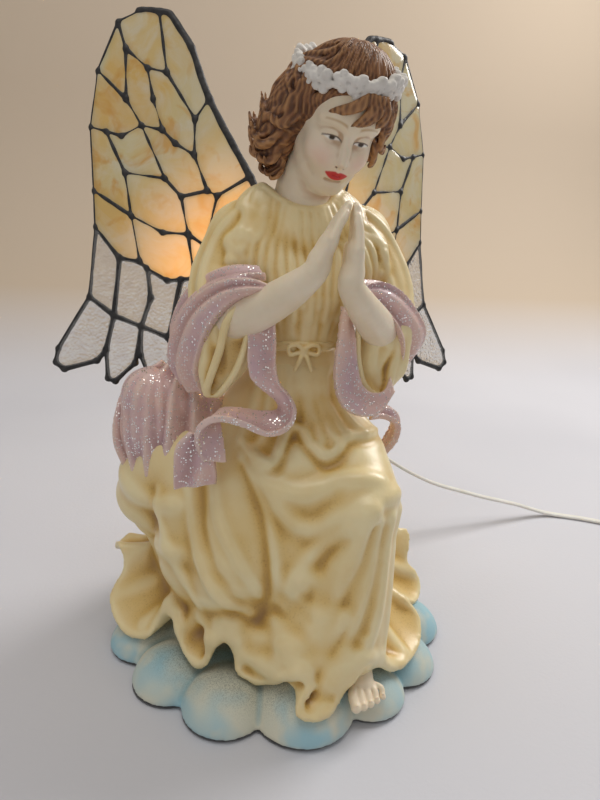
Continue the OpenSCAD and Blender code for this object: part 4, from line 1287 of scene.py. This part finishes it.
def crown():
    clay = Clay((-18, -68, 236), (50, 8, 286), 0.42 * COARSE)
    local = np.random.default_rng(3)

    def ring(turn, out=0.0, up=0.0):
        a = math.radians(turn)
        return np.array([-1.2 + (19.4 + out) * math.sin(a), -4.5 + (18.6 + out) * math.cos(a),
                         15.0 + up + 1.8 * math.cos(a) + 2.4 * math.sin(a)])

    clay.stroke(on_head(*[(*ring(t), 1.7) for t in range(0, 361, 12)]), 0.6)
    count = 18
    for i in range(count):
        turn = 360 * (i + local.uniform(-0.16, 0.16)) / count
        a = math.radians(turn)
        out = np.array([math.sin(a), math.cos(a), 0.25])
        along = np.array([math.cos(a), -math.sin(a), 0])
        rise = np.array([0, 0, 1.0])
        middle = ring(turn, 1.5, local.uniform(-1.0, 1.4))
        size = local.uniform(0.85, 1.2)
        spin = local.uniform(0, 2 * math.pi)
        for petal in range(6):
            p = spin + petal * math.pi / 3
            where = (middle + (along * math.cos(p) + rise * math.sin(p)) * 2.5 * size
                     + out * local.uniform(-0.2, 0.7))
            clay.egg(on_head(where)[0], np.array([1.75, 1.7, 1.7]) * size, 0.3)
            for lean in (-0.42, 0.42):
                tip = where + (along * math.cos(p + lean) + rise * math.sin(p + lean)) * 1.0 * size \
                    + out * local.uniform(0.6, 1.2)
                clay.egg(on_head(tip)[0], np.array([0.95, 0.9, 0.9]) * size, 0.25)
        clay.egg(on_head(middle + out * 1.5)[0], (1.15, 1.15, 1.15), 0.3)
        for petal in range(3):
            p = spin + 0.5 + petal * math.pi * 2 / 3
            inner = middle + (along * math.cos(p) + rise * math.sin(p)) * 1.2 * size + out * 1.6
            clay.egg(on_head(inner)[0], (0.85, 0.85, 0.85), 0.25)
    sculpt("crown_blossoms", clay, flower_paint(), "flower_paint", "flower_crown")


def foot():
    """Bare toes that show under the front of the hem."""
    clay = Clay((10, -92, 6), (46, -50, 36), 0.4 * COARSE)
    clay.stroke([(27, -54, 24, 7), (27.5, -63, 19, 6), (27.5, -69, 16.5, 5.0)], 3)
    for i in range(5):
        x = 21.6 + 3.3 * i
        reach = -78.5 + 0.45 * i**1.6
        r = 2.1 - 0.2 * i
        clay.stroke([(24.5 + 1.4 * i, -69, 17, r), (x, (reach - 69) / 2 - 0.5, 16.2, r),
                     (x, reach, 14.4, r)], 0.6)
        clay.egg((x, reach - 0.9, 14.1), (r * 1.08, r * 1.05, r * 0.95), 0.5)
        clay.egg((x, reach - r * 0.9, 15.6), (r * 0.6, 0.35, r * 0.45), 0.3)
    sculpt("foot_and_toes", clay, skin_paint("foot skin"), "skin_paint", "bare_foot", relax=2)


arms()
head()
hair()
crown()
foot()


# ---------------------------------------------------------------- shawl
def shawl_paint():
    """Lilac-pink wash over cream, strewn with fine glitter that is thickest in patches; its ridges carry
    painted highlight and its folds painted shade.
    """
    s = Shader("shawl paint")
    hollow = s.attribute("hollow")
    colour = s.mix(s.ramp(s.noise(60, 3), 0.36, 0.66), (0.72, 0.48, 0.42), (0.58, 0.40, 0.44))
    # painted highlight on the ridges, painted shade in the folds
    colour = s.mix(s.ramp(hollow, 0.2, 1.3, 0, 0.5), colour, (0.82, 0.66, 0.54))
    colour = s.mix(s.ramp(hollow, 0.0, -1.4, 0, 0.85), colour, (0.30, 0.14, 0.12))
    flakes = s.cells(1100)
    parts = s.add("ShaderNodeSeparateColor")
    s.join(flakes.outputs["Color"], parts.inputs["Color"])
    lucky = s.ramp(parts.outputs["Red"], 0.66, 0.70)
    small = s.ramp(flakes.outputs["Distance"], 0.50, 0.42)
    patch = s.ramp(s.noise(60, 3), 0.36, 0.58, 0.3, 1.0)
    glint = s.times(s.times(lucky, small), patch)
    colour = s.mix(glint, colour, (1.0, 0.98, 0.95))
    s.join(glint, s.bsdf.inputs["Metallic"])
    s.bump(s.times(parts.outputs["Green"], glint), 0.0009, 0.9)
    s.bump(s.noise(800, 3), 0.00012, 0.5)
    roughness = s.ramp(glint, 0.0, 1.0, 0.46, 0.12)
    return s.finish(colour, roughness, Coat_Weight=0.2, Coat_Roughness=0.3)


pink = shawl_paint()


def shawl():
    cell = 0.55 * COARSE
    # over the forearm on the viewer's left, falling outside the cuff like a cape
    clay = Clay((-62, -62, 124), (0, 4, 192), cell)
    strip(clay, [(-14, -50, 182, -14, -50, 179), (-23, -46, 184, -21, -49, 178.5),
                 (-33, -38, 181, -29, -45, 175),
                 (-43, -28, 171, -36.5, -42, 167), (-48.5, -21, 159, -40, -39, 157),
                 (-50, -18, 147, -41.5, -36, 146),
                 (-45, -18, 137, -38, -34, 137)], 2.4, 1.2, 1.6, 1.3, 1.5)
    strip(clay, [(-18, -36, 186, -16, -46, 184), (-30, -30, 185, -27, -42, 182),
                 (-42, -18, 176, -37, -31, 176),
                 (-48, -10, 162, -46, -24, 163), (-49, -6, 148, -48, -19, 149)], 2.6, 1.6, 1.2, 1.0, 1.5)
    sculpt("shawl_over_right_arm", clay, pink, "shawl_glitter", "shawl_right")

    # the ribbon that curls across the lap, with two tail ends
    clay = Clay((-62, -70, 88), (6, -24, 176), cell)
    strip(clay, [(-12.5, -46, 169, -22.5, -42, 168), (-12, -48, 160, -22, -44, 160),
                 (-12, -49, 152, -22, -45, 152),
                 (-10.5, -51, 145, -20.5, -46.5, 146), (-6.5, -53, 140, -16, -47.5, 143),
                 (-5, -55, 134.5, -10, -48, 138),
                 (-8, -57, 129.5, -9.5, -47, 133), (-15, -57, 127, -16, -46, 132),
                 (-23, -56, 130.5, -24, -45, 133),
                 (-31, -55, 133, -31, -44, 133), (-37.5, -54, 132.5, -34, -44, 130),
                 (-42, -52, 128, -33, -45, 125),
                 (-42.5, -51, 121, -31.5, -46.5, 118), (-40, -50, 114, -30.5, -47, 112)], 2.2, 0.8, 0.8, 0.7,
          0.8)
    strip(clay, [(-44, -43, 124, -36, -47, 122), (-49, -42, 118, -35, -47, 114),
                 (-50, -42, 109, -34, -47, 106),
                 (-50, -42, 99, -34.5, -48, 103)], 2.2, 0.8, 1.5, 1.4)
    sculpt("shawl_across_lap", clay, pink, "shawl_glitter", "shawl_ribbon")

    # over the elbow on the viewer's right, looped up in a U, with a tip behind the knee
    clay = Clay((2, -62, 94), (68, 6, 192), cell)
    strip(clay, [(15.5, -40, 174, 19, -39, 171), (13.5, -44, 163, 21, -43, 163),
                 (12, -46.5, 152, 22, -45, 152),
                 (12.5, -48, 142, 24, -46, 144), (16, -50, 134.5, 27, -46.5, 140.5),
                 (24, -51, 131, 31, -46.5, 139.5),
                 (32, -50, 132.5, 34.5, -46, 141), (38.5, -47, 140, 37, -44, 146)], 2.2, 0.8, 0.8, 0.7, 1.0)
    strip(clay, [(22, -46, 183, 21, -47, 179), (32, -43, 184, 28, -46, 175), (44, -38, 178, 36, -44, 168),
                 (56, -33, 164, 41, -41, 160), (55, -29, 154, 43, -37, 151), (50, -26, 146, 44, -33, 145)],
          2.4, 1.2, 1.5, 1.2, 1.5)
    strip(clay, [(25, -34, 186, 22, -42, 183), (39, -26, 183, 34, -36, 181), (49, -14, 172, 46, -26, 172),
                 (52, -8, 158, 52, -20, 160), (50, -6, 146, 50, -16, 148)], 2.6, 1.6, 1.2, 1.0, 1.5)
    strip(clay, [(36, -22, 126, 36, -30, 124), (46, -18, 126, 44, -26, 122), (53, -14, 121, 50, -24, 118),
                 (55, -12, 113, 50, -22, 110), (48, -14, 103, 44, -22, 102)], 2.6, 1.2, 1.5, 1.2)
    sculpt("shawl_over_left_arm", clay, pink, "shawl_glitter", "shawl_left")

    # the end that drapes the bundled train behind the left hip
    clay = Clay((-86, -40, 78), (-16, 36, 150), cell)
    clay.egg((-55, 1, 115), (16, 18, 20), 4)
    clay.egg((-60, 4, 110), (12, 16, 21), 5)
    clay.stroke([(-60, -2, 128, 11), (-46, -6, 124, 10), (-34, -8, 122, 9)], 5)
    clay.stroke([(-40, 10, 118, 14), (-30, 22, 104, 14)], 6)
    for i in range(11):
        a = math.radians(-205 + 19 * i)
        reach = 1.0 + 0.06 * math.sin(3 * i)
        c, e = math.cos(a), math.sin(a)
        line = [(-55 + 5 * c, 1 + 5 * e, 136), (-55 + 12 * c, 1 + 12 * e, 131),
                (-55 + 18 * c * reach, 1 + 18 * e, 120),
                (-55 + 19 * c * reach, 1 + 19 * e, 106), (-55 + 18.5 * c, 1 + 18.5 * e,
                                                          94 + 4 * math.sin(2.2 * i))]
        ridges(clay, [line], 2.2 + 0.8 * math.sin(5 * i), 2.4, sink=0.35)
    strip(clay, [(-36, -8, 131, -56, 12, 137), (-33, -16, 125, -69, 6, 130), (-33, -20, 116, -74, 3, 118),
                 (-35, -21, 106, -75, 3, 105), (-39, -20, 96, -71, 3, 93)], 2.6, 1.2, 4.5, 1.9, -8, across=31)
    clay.plane((0, 0, 90), (0.1, 0.05, -1), 2)
    sculpt("shawl_over_train", clay, pink, "shawl_glitter", "shawl_rear")


shawl()


# ---------------------------------------------------------------- wings
wing_sweep = math.radians(27.2)
wing_lean = math.radians(11)
opal_panes = [
    [(84, 300), (89, 301), (83, 274), (67, 253), (61, 262), (72, 285)],
    [(89, 301), (98, 302), (110, 297), (105, 285), (93, 276), (83, 274)],
    [(110, 297), (119, 275), (103, 262), (105, 285)],
    [(105, 285), (103, 262), (94, 250), (83, 248), (89, 262), (93, 276)],
    [(93, 276), (89, 262), (83, 248), (76, 242), (66, 237), (67, 253), (83, 274)],
    [(119, 275), (121, 249), (104, 245), (94, 250), (103, 262)],
    [(61, 262), (67, 253), (66, 237), (58, 221), (53, 219), (38, 228)],
    [(94, 250), (83, 248), (76, 242), (66, 237), (58, 221), (71, 218), (80, 226)],
    [(104, 245), (94, 250), (80, 226), (101, 228), (112.5, 247)],
    [(121, 249), (112.5, 247), (101, 228), (96, 208), (117, 219)],
    [(101, 228), (80, 226), (71, 218), (66, 201), (79, 201), (96, 208)],
    [(71, 218), (58, 221), (53, 219), (57, 196), (66, 201)],
    [(117, 219), (96, 208), (90, 187), (101, 188), (115, 202)],
    [(96, 208), (79, 201), (66, 201), (61, 181), (75, 179), (86, 184), (90, 187)],
    [(66, 201), (57, 196), (61, 181)],
    [(53, 219), (38, 228), (27, 207), (40, 197), (57, 196)],
    [(57, 196), (40, 197), (45, 178), (61, 181)],
    [(40, 197), (27, 207), (29, 186), (45, 178)]]
clear_panes = [
    [(115, 202), (101, 188), (102, 160), (116, 168)],
    [(101, 188), (90, 187), (86, 184), (83, 170), (87, 156), (102, 160)],
    [(86, 184), (75, 179), (68, 180), (72, 152), (87, 156), (83, 170)],
    [(68, 180), (61, 181), (45, 178), (52, 151), (72, 152)],
    [(45, 178), (29, 186), (38, 157), (52, 151)],
    [(116, 168), (102, 160), (105, 143), (110, 137), (128, 131), (133, 134), (132, 141)],
    [(102, 160), (87, 156), (89, 138), (99, 128), (103, 129), (105, 143)],
    [(87, 156), (72, 152), (66, 136), (72, 127), (78, 127), (86, 142)],
    [(72, 152), (52, 151), (50, 137), (57, 127), (61, 127), (66, 136)]]
# the thick leading edge, and the smooth outer line from shoulder to tip
leading_edge = [(100, 302), (94, 302), (89, 301), (84, 300), (78, 293), (72, 285), (67, 274), (61, 262),
                (50, 245),
                (38, 228), (32, 217), (27, 207)]


def wing_points(points, side):
    """Points in a wing's own plane (outward, up, forward) moved into place; side is -1 or 1."""
    along = np.array([math.cos(wing_sweep), math.sin(wing_sweep), 0])
    up = np.array([-math.sin(wing_sweep) * math.sin(wing_lean), math.cos(wing_sweep) * math.sin(wing_lean),
                   math.cos(wing_lean)])
    forward = np.cross(along, up)
    out = np.array([0, -37, 0]) + points[:, :1] * along + points[:, 1:2] * up + points[:, 2:] * forward
    if side < 0:
        out = out * np.array([-1, 1, 1])
    return out


def solder_paint():
    s = Shader("dark solder")
    colour = s.mix(s.ramp(s.noise(260, 4), 0.35, 0.7), (0.018, 0.018, 0.020), (0.055, 0.053, 0.052))
    s.bump(s.noise(420, 4), 0.0004, 0.7)
    return s.finish(colour, s.ramp(s.noise(300, 3), 0.2, 0.8, 0.38, 0.62), Metallic=0.35)


def opal_glass():
    """Streaky cream and amber glass that glows where the bulb stands behind it."""
    s = Shader("opal glass")
    patch = s.add("ShaderNodeTexVoronoi", feature="SMOOTH_F1")
    patch.inputs["Scale"].default_value = 42
    patch.inputs["Smoothness"].default_value = 0.25
    s.join(s.place, patch.inputs["Vector"])
    parts = s.add("ShaderNodeSeparateColor")
    s.join(patch.outputs["Color"], parts.inputs["Color"])
    swirl = s.ramp(s.noise(34, 4, 0.6, 2.2), 0.38, 0.66)
    colour = s.mix(parts.outputs["Red"], (0.80, 0.72, 0.42), (0.84, 0.56, 0.17))
    colour = s.mix(s.times(swirl, 0.6), colour, (0.82, 0.80, 0.66))
    colour = s.mix(s.ramp(s.noise(48, 3, 0.5, 1.5), 0.54, 0.68, 0, 0.8), colour, (0.78, 0.44, 0.10))
    # painted glow: emission near the bulb stands in for its light shining through the glass
    near = s.add("ShaderNodeVectorMath", operation="DISTANCE")
    near.inputs[1].default_value = (0.002, 0.050, 0.165)
    s.join(s.place, near.inputs[0])
    glow = s.ramp(near.outputs["Value"], 0.092, 0.040)
    s.bsdf.inputs["Emission Color"].default_value = (1.0, 0.42, 0.10, 1)
    s.join(s.times(s.times(glow, glow), 0.9), s.bsdf.inputs["Emission Strength"])
    s.bump(s.noise(120, 3), 0.0006, 0.35)
    return s.finish(colour, s.ramp(s.noise(90, 3), 0.2, 0.8, 0.10, 0.22), Transmission_Weight=0.32, IOR=1.5,
                    Coat_Weight=0.3, Coat_Roughness=0.08)


def clear_glass():
    s = Shader("clear hammered glass")
    dimples = s.cells(750, "SMOOTH_F1")
    s.bump(dimples.outputs["Distance"], 0.0005, 0.7)
    s.bump(s.noise(400, 3), 0.0003, 0.5)
    colour = s.mix(s.ramp(s.noise(200, 3), 0.35, 0.7), (0.92, 0.92, 0.90), (0.82, 0.80, 0.78))
    return s.finish(colour, s.ramp(s.noise(300, 2), 0.2, 0.8, 0.10, 0.26), Transmission_Weight=0.86, IOR=1.45)


def pane_glass(name, outlines, side, material, slot, node):
    """Every pane of one glass, a slab with softened edges that reaches under the lead lines."""
    rings = ((0.25, 1.24), (0.6, 1.22), (0.965, 1.18), (0.982, 1.1), (0.99, 0.9))
    rings += tuple((share, -high) for share, high in rings[::-1])
    points, faces = [], []
    start = 0
    for outline in outlines:
        p = np.asarray(outline, float)
        after = np.roll(p, -1, 0)
        if (p[:, 0] * after[:, 1] - p[:, 1] * after[:, 0]).sum() < 0:
            p = p[::-1]
        edge = []
        for a, b in zip(p, np.roll(p, -1, 0)):
            steps = max(2, int(np.linalg.norm(b - a) / 2.0))
            edge.append(a + (b - a) * (np.arange(steps) / steps)[:, None])
        edge = np.vstack(edge)
        middle = edge.mean(0)
        n = len(edge)
        for share, high in rings:
            points.append(np.column_stack([middle + (edge - middle) * share, np.full(n, high)]))
        for k in range(len(rings) - 1):
            low, top = start + k * n, start + (k + 1) * n
            faces += [(low + i, top + i, top + (i + 1) % n, low + (i + 1) % n) for i in range(n)]
        last = start + (len(rings) - 1) * n
        faces += [tuple(range(start, start + n)), tuple(range(last + n - 1, last - 1, -1))]
        start += len(rings) * n
    place(solid_object(name, wing_points(np.vstack(points), side), faces, material), "figure", slot, node)


def came(side, name, node, material):
    """The dark lead lines: rounded, a little uneven, with solder swollen at the joints."""
    clay = Clay((20, 120, -4), (140, 308, 4), 0.5 * COARSE)
    local = np.random.default_rng(5)
    for outline in opal_panes + clear_panes:
        for a, b in zip(outline, outline[1:] + outline[:1]):
            middle = ((a[0] + b[0]) / 2, (a[1] + b[1]) / 2)
            clay.stroke([(*a, 0, 1.35), (*middle, 0, local.uniform(1.1, 1.35)), (*b, 0, 1.35)], 0.5,
                        curved=False)
        for corner in outline:
            clay.egg((*corner, 0), (1.7, 1.7, 1.5), 0.9)
    clay.stroke([(*p, 0, 1.75) for p in leading_edge], 0.8)
    clay.ripple(0.12, 2.2, 8)
    points, quads = clay.mesh(2)
    points = wing_points(points, side)
    if side < 0:
        quads = quads[:, ::-1]
    place(make_object(name, points, quads, material), "figure", "dark_solder", node)


def wings():
    solder, opal, clear = solder_paint(), opal_glass(), clear_glass()
    for side, name in ((1, "left"), (-1, "right")):
        came(side, name + "_wing_lead_lines", name + "_wing_came", solder)
        for kind, panes, glass in (("opal", opal_panes, opal), ("clear", clear_panes, clear)):
            pane_glass(f"{name}_wing_{kind}_panes", panes, side, glass, kind + "_glass",
                       f"{name}_wing_{kind}_glass")
    return solder


solder = wings()


# ---------------------------------------------------------------- lamp fittings
def steel_paint():
    s = Shader("zinc steel")
    colour = s.mix(s.ramp(s.noise(300, 4), 0.35, 0.7), (0.52, 0.52, 0.50), (0.34, 0.34, 0.33))
    s.bump(s.noise(900, 3), 0.0001, 0.5)
    return s.finish(colour, s.ramp(s.noise(200, 3), 0.2, 0.8, 0.26, 0.46), Metallic=1.0)


def brass_paint():
    s = Shader("brass")
    colour = s.mix(s.ramp(s.noise(240, 4), 0.35, 0.7), (0.66, 0.46, 0.17), (0.42, 0.28, 0.10))
    s.bump(s.noise(700, 3), 0.0001, 0.5)
    return s.finish(colour, s.ramp(s.noise(160, 3), 0.2, 0.8, 0.22, 0.40), Metallic=1.0)


def nickel_paint():
    s = Shader("nickel cap")
    colour = s.mix(s.ramp(s.noise(300, 3), 0.35, 0.7), (0.62, 0.60, 0.56), (0.44, 0.42, 0.39))
    s.bump(s.noise(900, 3), 0.0001, 0.4)
    return s.finish(colour, s.ramp(s.noise(200, 3), 0.2, 0.8, 0.2, 0.36), Metallic=1.0)


def card_paint():
    s = Shader("socket card")
    colour = s.mix(s.ramp(s.noise(130, 4), 0.35, 0.7), (0.80, 0.76, 0.64), (0.70, 0.64, 0.50))
    s.bump(s.noise(1100, 4), 0.0002, 0.7)
    return s.finish(colour, s.ramp(s.noise(200, 3), 0.2, 0.8, 0.68, 0.84))


def warm_glass():
    """Clear lamp glass, filled with the light of its filament."""
    s = Shader("bulb glass")
    s.bump(s.noise(60, 2), 0.0003, 0.2)
    s.bsdf.inputs["Emission Color"].default_value = (1.0, 0.60, 0.24, 1)
    s.join(s.ramp(s.noise(40, 2), 0.3, 0.7, 0.5, 0.8), s.bsdf.inputs["Emission Strength"])
    colour = s.mix(s.ramp(s.noise(50, 2), 0.3, 0.7), (1.0, 0.95, 0.86), (0.98, 0.90, 0.78))
    return s.finish(colour, s.ramp(s.noise(90), 0.3, 0.7, 0.03, 0.08), Transmission_Weight=0.85, IOR=1.46)


def hot_wire():
    s = Shader("hot wire")
    s.bsdf.inputs["Emission Color"].default_value = (1.0, 0.62, 0.25, 1)
    s.join(s.ramp(s.noise(500), 0.3, 0.7, 20, 34), s.bsdf.inputs["Emission Strength"])
    return s.finish(s.mix(s.noise(300), (0.9, 0.8, 0.6), (0.8, 0.7, 0.5)), 0.5)


def black_tie_paint():
    s = Shader("black tie")
    colour = s.mix(s.ramp(s.noise(400, 3), 0.35, 0.7), (0.018, 0.018, 0.02), (0.045, 0.045, 0.048))
    s.bump(s.noise(1500, 3), 0.0002, 0.8)
    return s.finish(colour, s.ramp(s.noise(300, 3), 0.2, 0.8, 0.5, 0.7))


def paint_node(material, *nodes):
    """Gives CAD parts whose shape is already right their finish."""
    for node in nodes:
        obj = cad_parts[node]
        obj.data.materials.clear()
        obj.data.materials.append(material)


def turned(name, outline, centre, material, slices=96):
    """A closed shape turned about an upright axis: outline rows of radius and height, from foot to top."""
    outline = np.asarray(outline, float)
    a = np.linspace(0, 2 * math.pi, slices, endpoint=False)
    rows = [np.column_stack([centre[0] + r * np.cos(a), centre[1] + r * np.sin(a), np.full(slices, z)])
            for r, z in outline]
    return make_object(name, np.vstack(rows), ring_quads(len(rows), slices), material)


def socket_and_bulb():
    steel, brass, nickel, card = steel_paint(), brass_paint(), nickel_paint(), card_paint()
    paint_node(steel, "right_wing_tab", "left_wing_tab", "wing_bracket", "bracket_screws", "wing_screws",
               "lamp_pipe", "pipe_nut")
    paint_node(brass, "screw_shell", "centre_contact")
    paint_node(card, "socket_insulator")
    sleeve = turned("socket_card_sleeve", [(4.95, 99), (11.2, 99), (11.8, 99.4), (12, 100), (12, 136.2),
                                           (11.7, 136.9),
                                      (10.7, 136.9), (10.4, 136.4), (10.4, 101), (4.95, 101)], lamp_at, card)
    place(sleeve, "figure", "socket_card", "socket_sleeve")
    # the bulb's cap with its rolled thread
    thread = [(0.3, 112.4), (2.2, 112.4), (3.6, 114.2), (5.0, 114.5)]
    for k in range(5):
        z = 116.2 + 2.54 * k
        thread += [(5.2, z - 0.95), (5.62, z - 0.45), (5.88, z), (5.62, z + 0.45)]
    thread += [(5.2, 128.6), (5.75, 130.2), (5.9, 132.2), (5.4, 132.25), (5.2, 129.5), (4.6, 128.5),
               (4.6, 116), (0.3, 115)]
    cap = turned("bulb_screw_cap", thread, lamp_at, nickel, 72)
    place(cap, "bulb_base", "nickel_cap", "bulb_cap")
    # a filament zigzag between two posts
    s = hot_wire()
    wire = [(lamp_at[0] - 5, lamp_at[1], 178)]
    for k in range(1, 10):
        wire.append((lamp_at[0] - 5 + k * 10 / 9, lamp_at[1], 178 + (5 if k % 2 else 0)))
    clay = Clay((lamp_at[0] - 9, lamp_at[1] - 4, 128), (lamp_at[0] + 9, lamp_at[1] + 4, 188), 0.3)
    clay.stroke(wire, 0.1, radius=0.42, curved=False)
    for side in (-1, 1):
        clay.stroke([(lamp_at[0] + 1.5 * side, lamp_at[1], 132, 0.6),
                     (lamp_at[0] + 2.2 * side, lamp_at[1], 150, 0.5),
                     (lamp_at[0] + 5 * side, lamp_at[1], 178, 0.5)], 0.2)
    clay.stroke([(*lamp_at, 131, 2.4), (*lamp_at, 146, 1.6)], 0.6)
    sculpt("bulb_wire", clay, s, "zinc_steel", "bulb_filament", body="bulb")
    paint_node(warm_glass(), "bulb_glass")


def strain_relief():
    """A tapered, ribbed sleeve where the lead leaves the lamp's foot."""
    start = np.array([*lamp_at, 84.0])
    end = np.array(lead_route[0], float)
    d = unit(end - start)
    side = unit(np.cross(d, (0, 0, 1)))
    up = np.cross(side, d)
    root = end - 24 * d
    a = np.linspace(0, 2 * math.pi, 48, endpoint=False)
    rows = []
    for t in np.linspace(0, 24, 97):
        ridge = 0.45 * (math.sin(2 * math.pi * t / 3.0) > 0) if 4 < t < 22 else 0
        r = 6.5 - 2.5 * t / 24 - ridge
        rows.append(root + d * t + np.outer(np.cos(a), side) * r + np.outer(np.sin(a), up) * r)
    for t, r in ((24.0, 2.2), (0.0, 2.2)):
        rows.append(root + d * t + np.outer(np.cos(a), side) * r + np.outer(np.sin(a), up) * r)
    quads = ring_quads(len(rows), len(a))[:, ::-1]
    relief = make_object("ribbed_strain_relief", np.vstack(rows), quads, pvc)
    place(relief, "figure", "white_pvc", "strain_relief")


socket_and_bulb()
strain_relief()
paint_node(gown_paint, "lamp_mount")
paint_node(black_tie_paint(), "coil_tie")
paint_node(pvc, "switch_body", "switch_wheel", "plug_body")
paint_node(brass_paint(), "plug_blades")
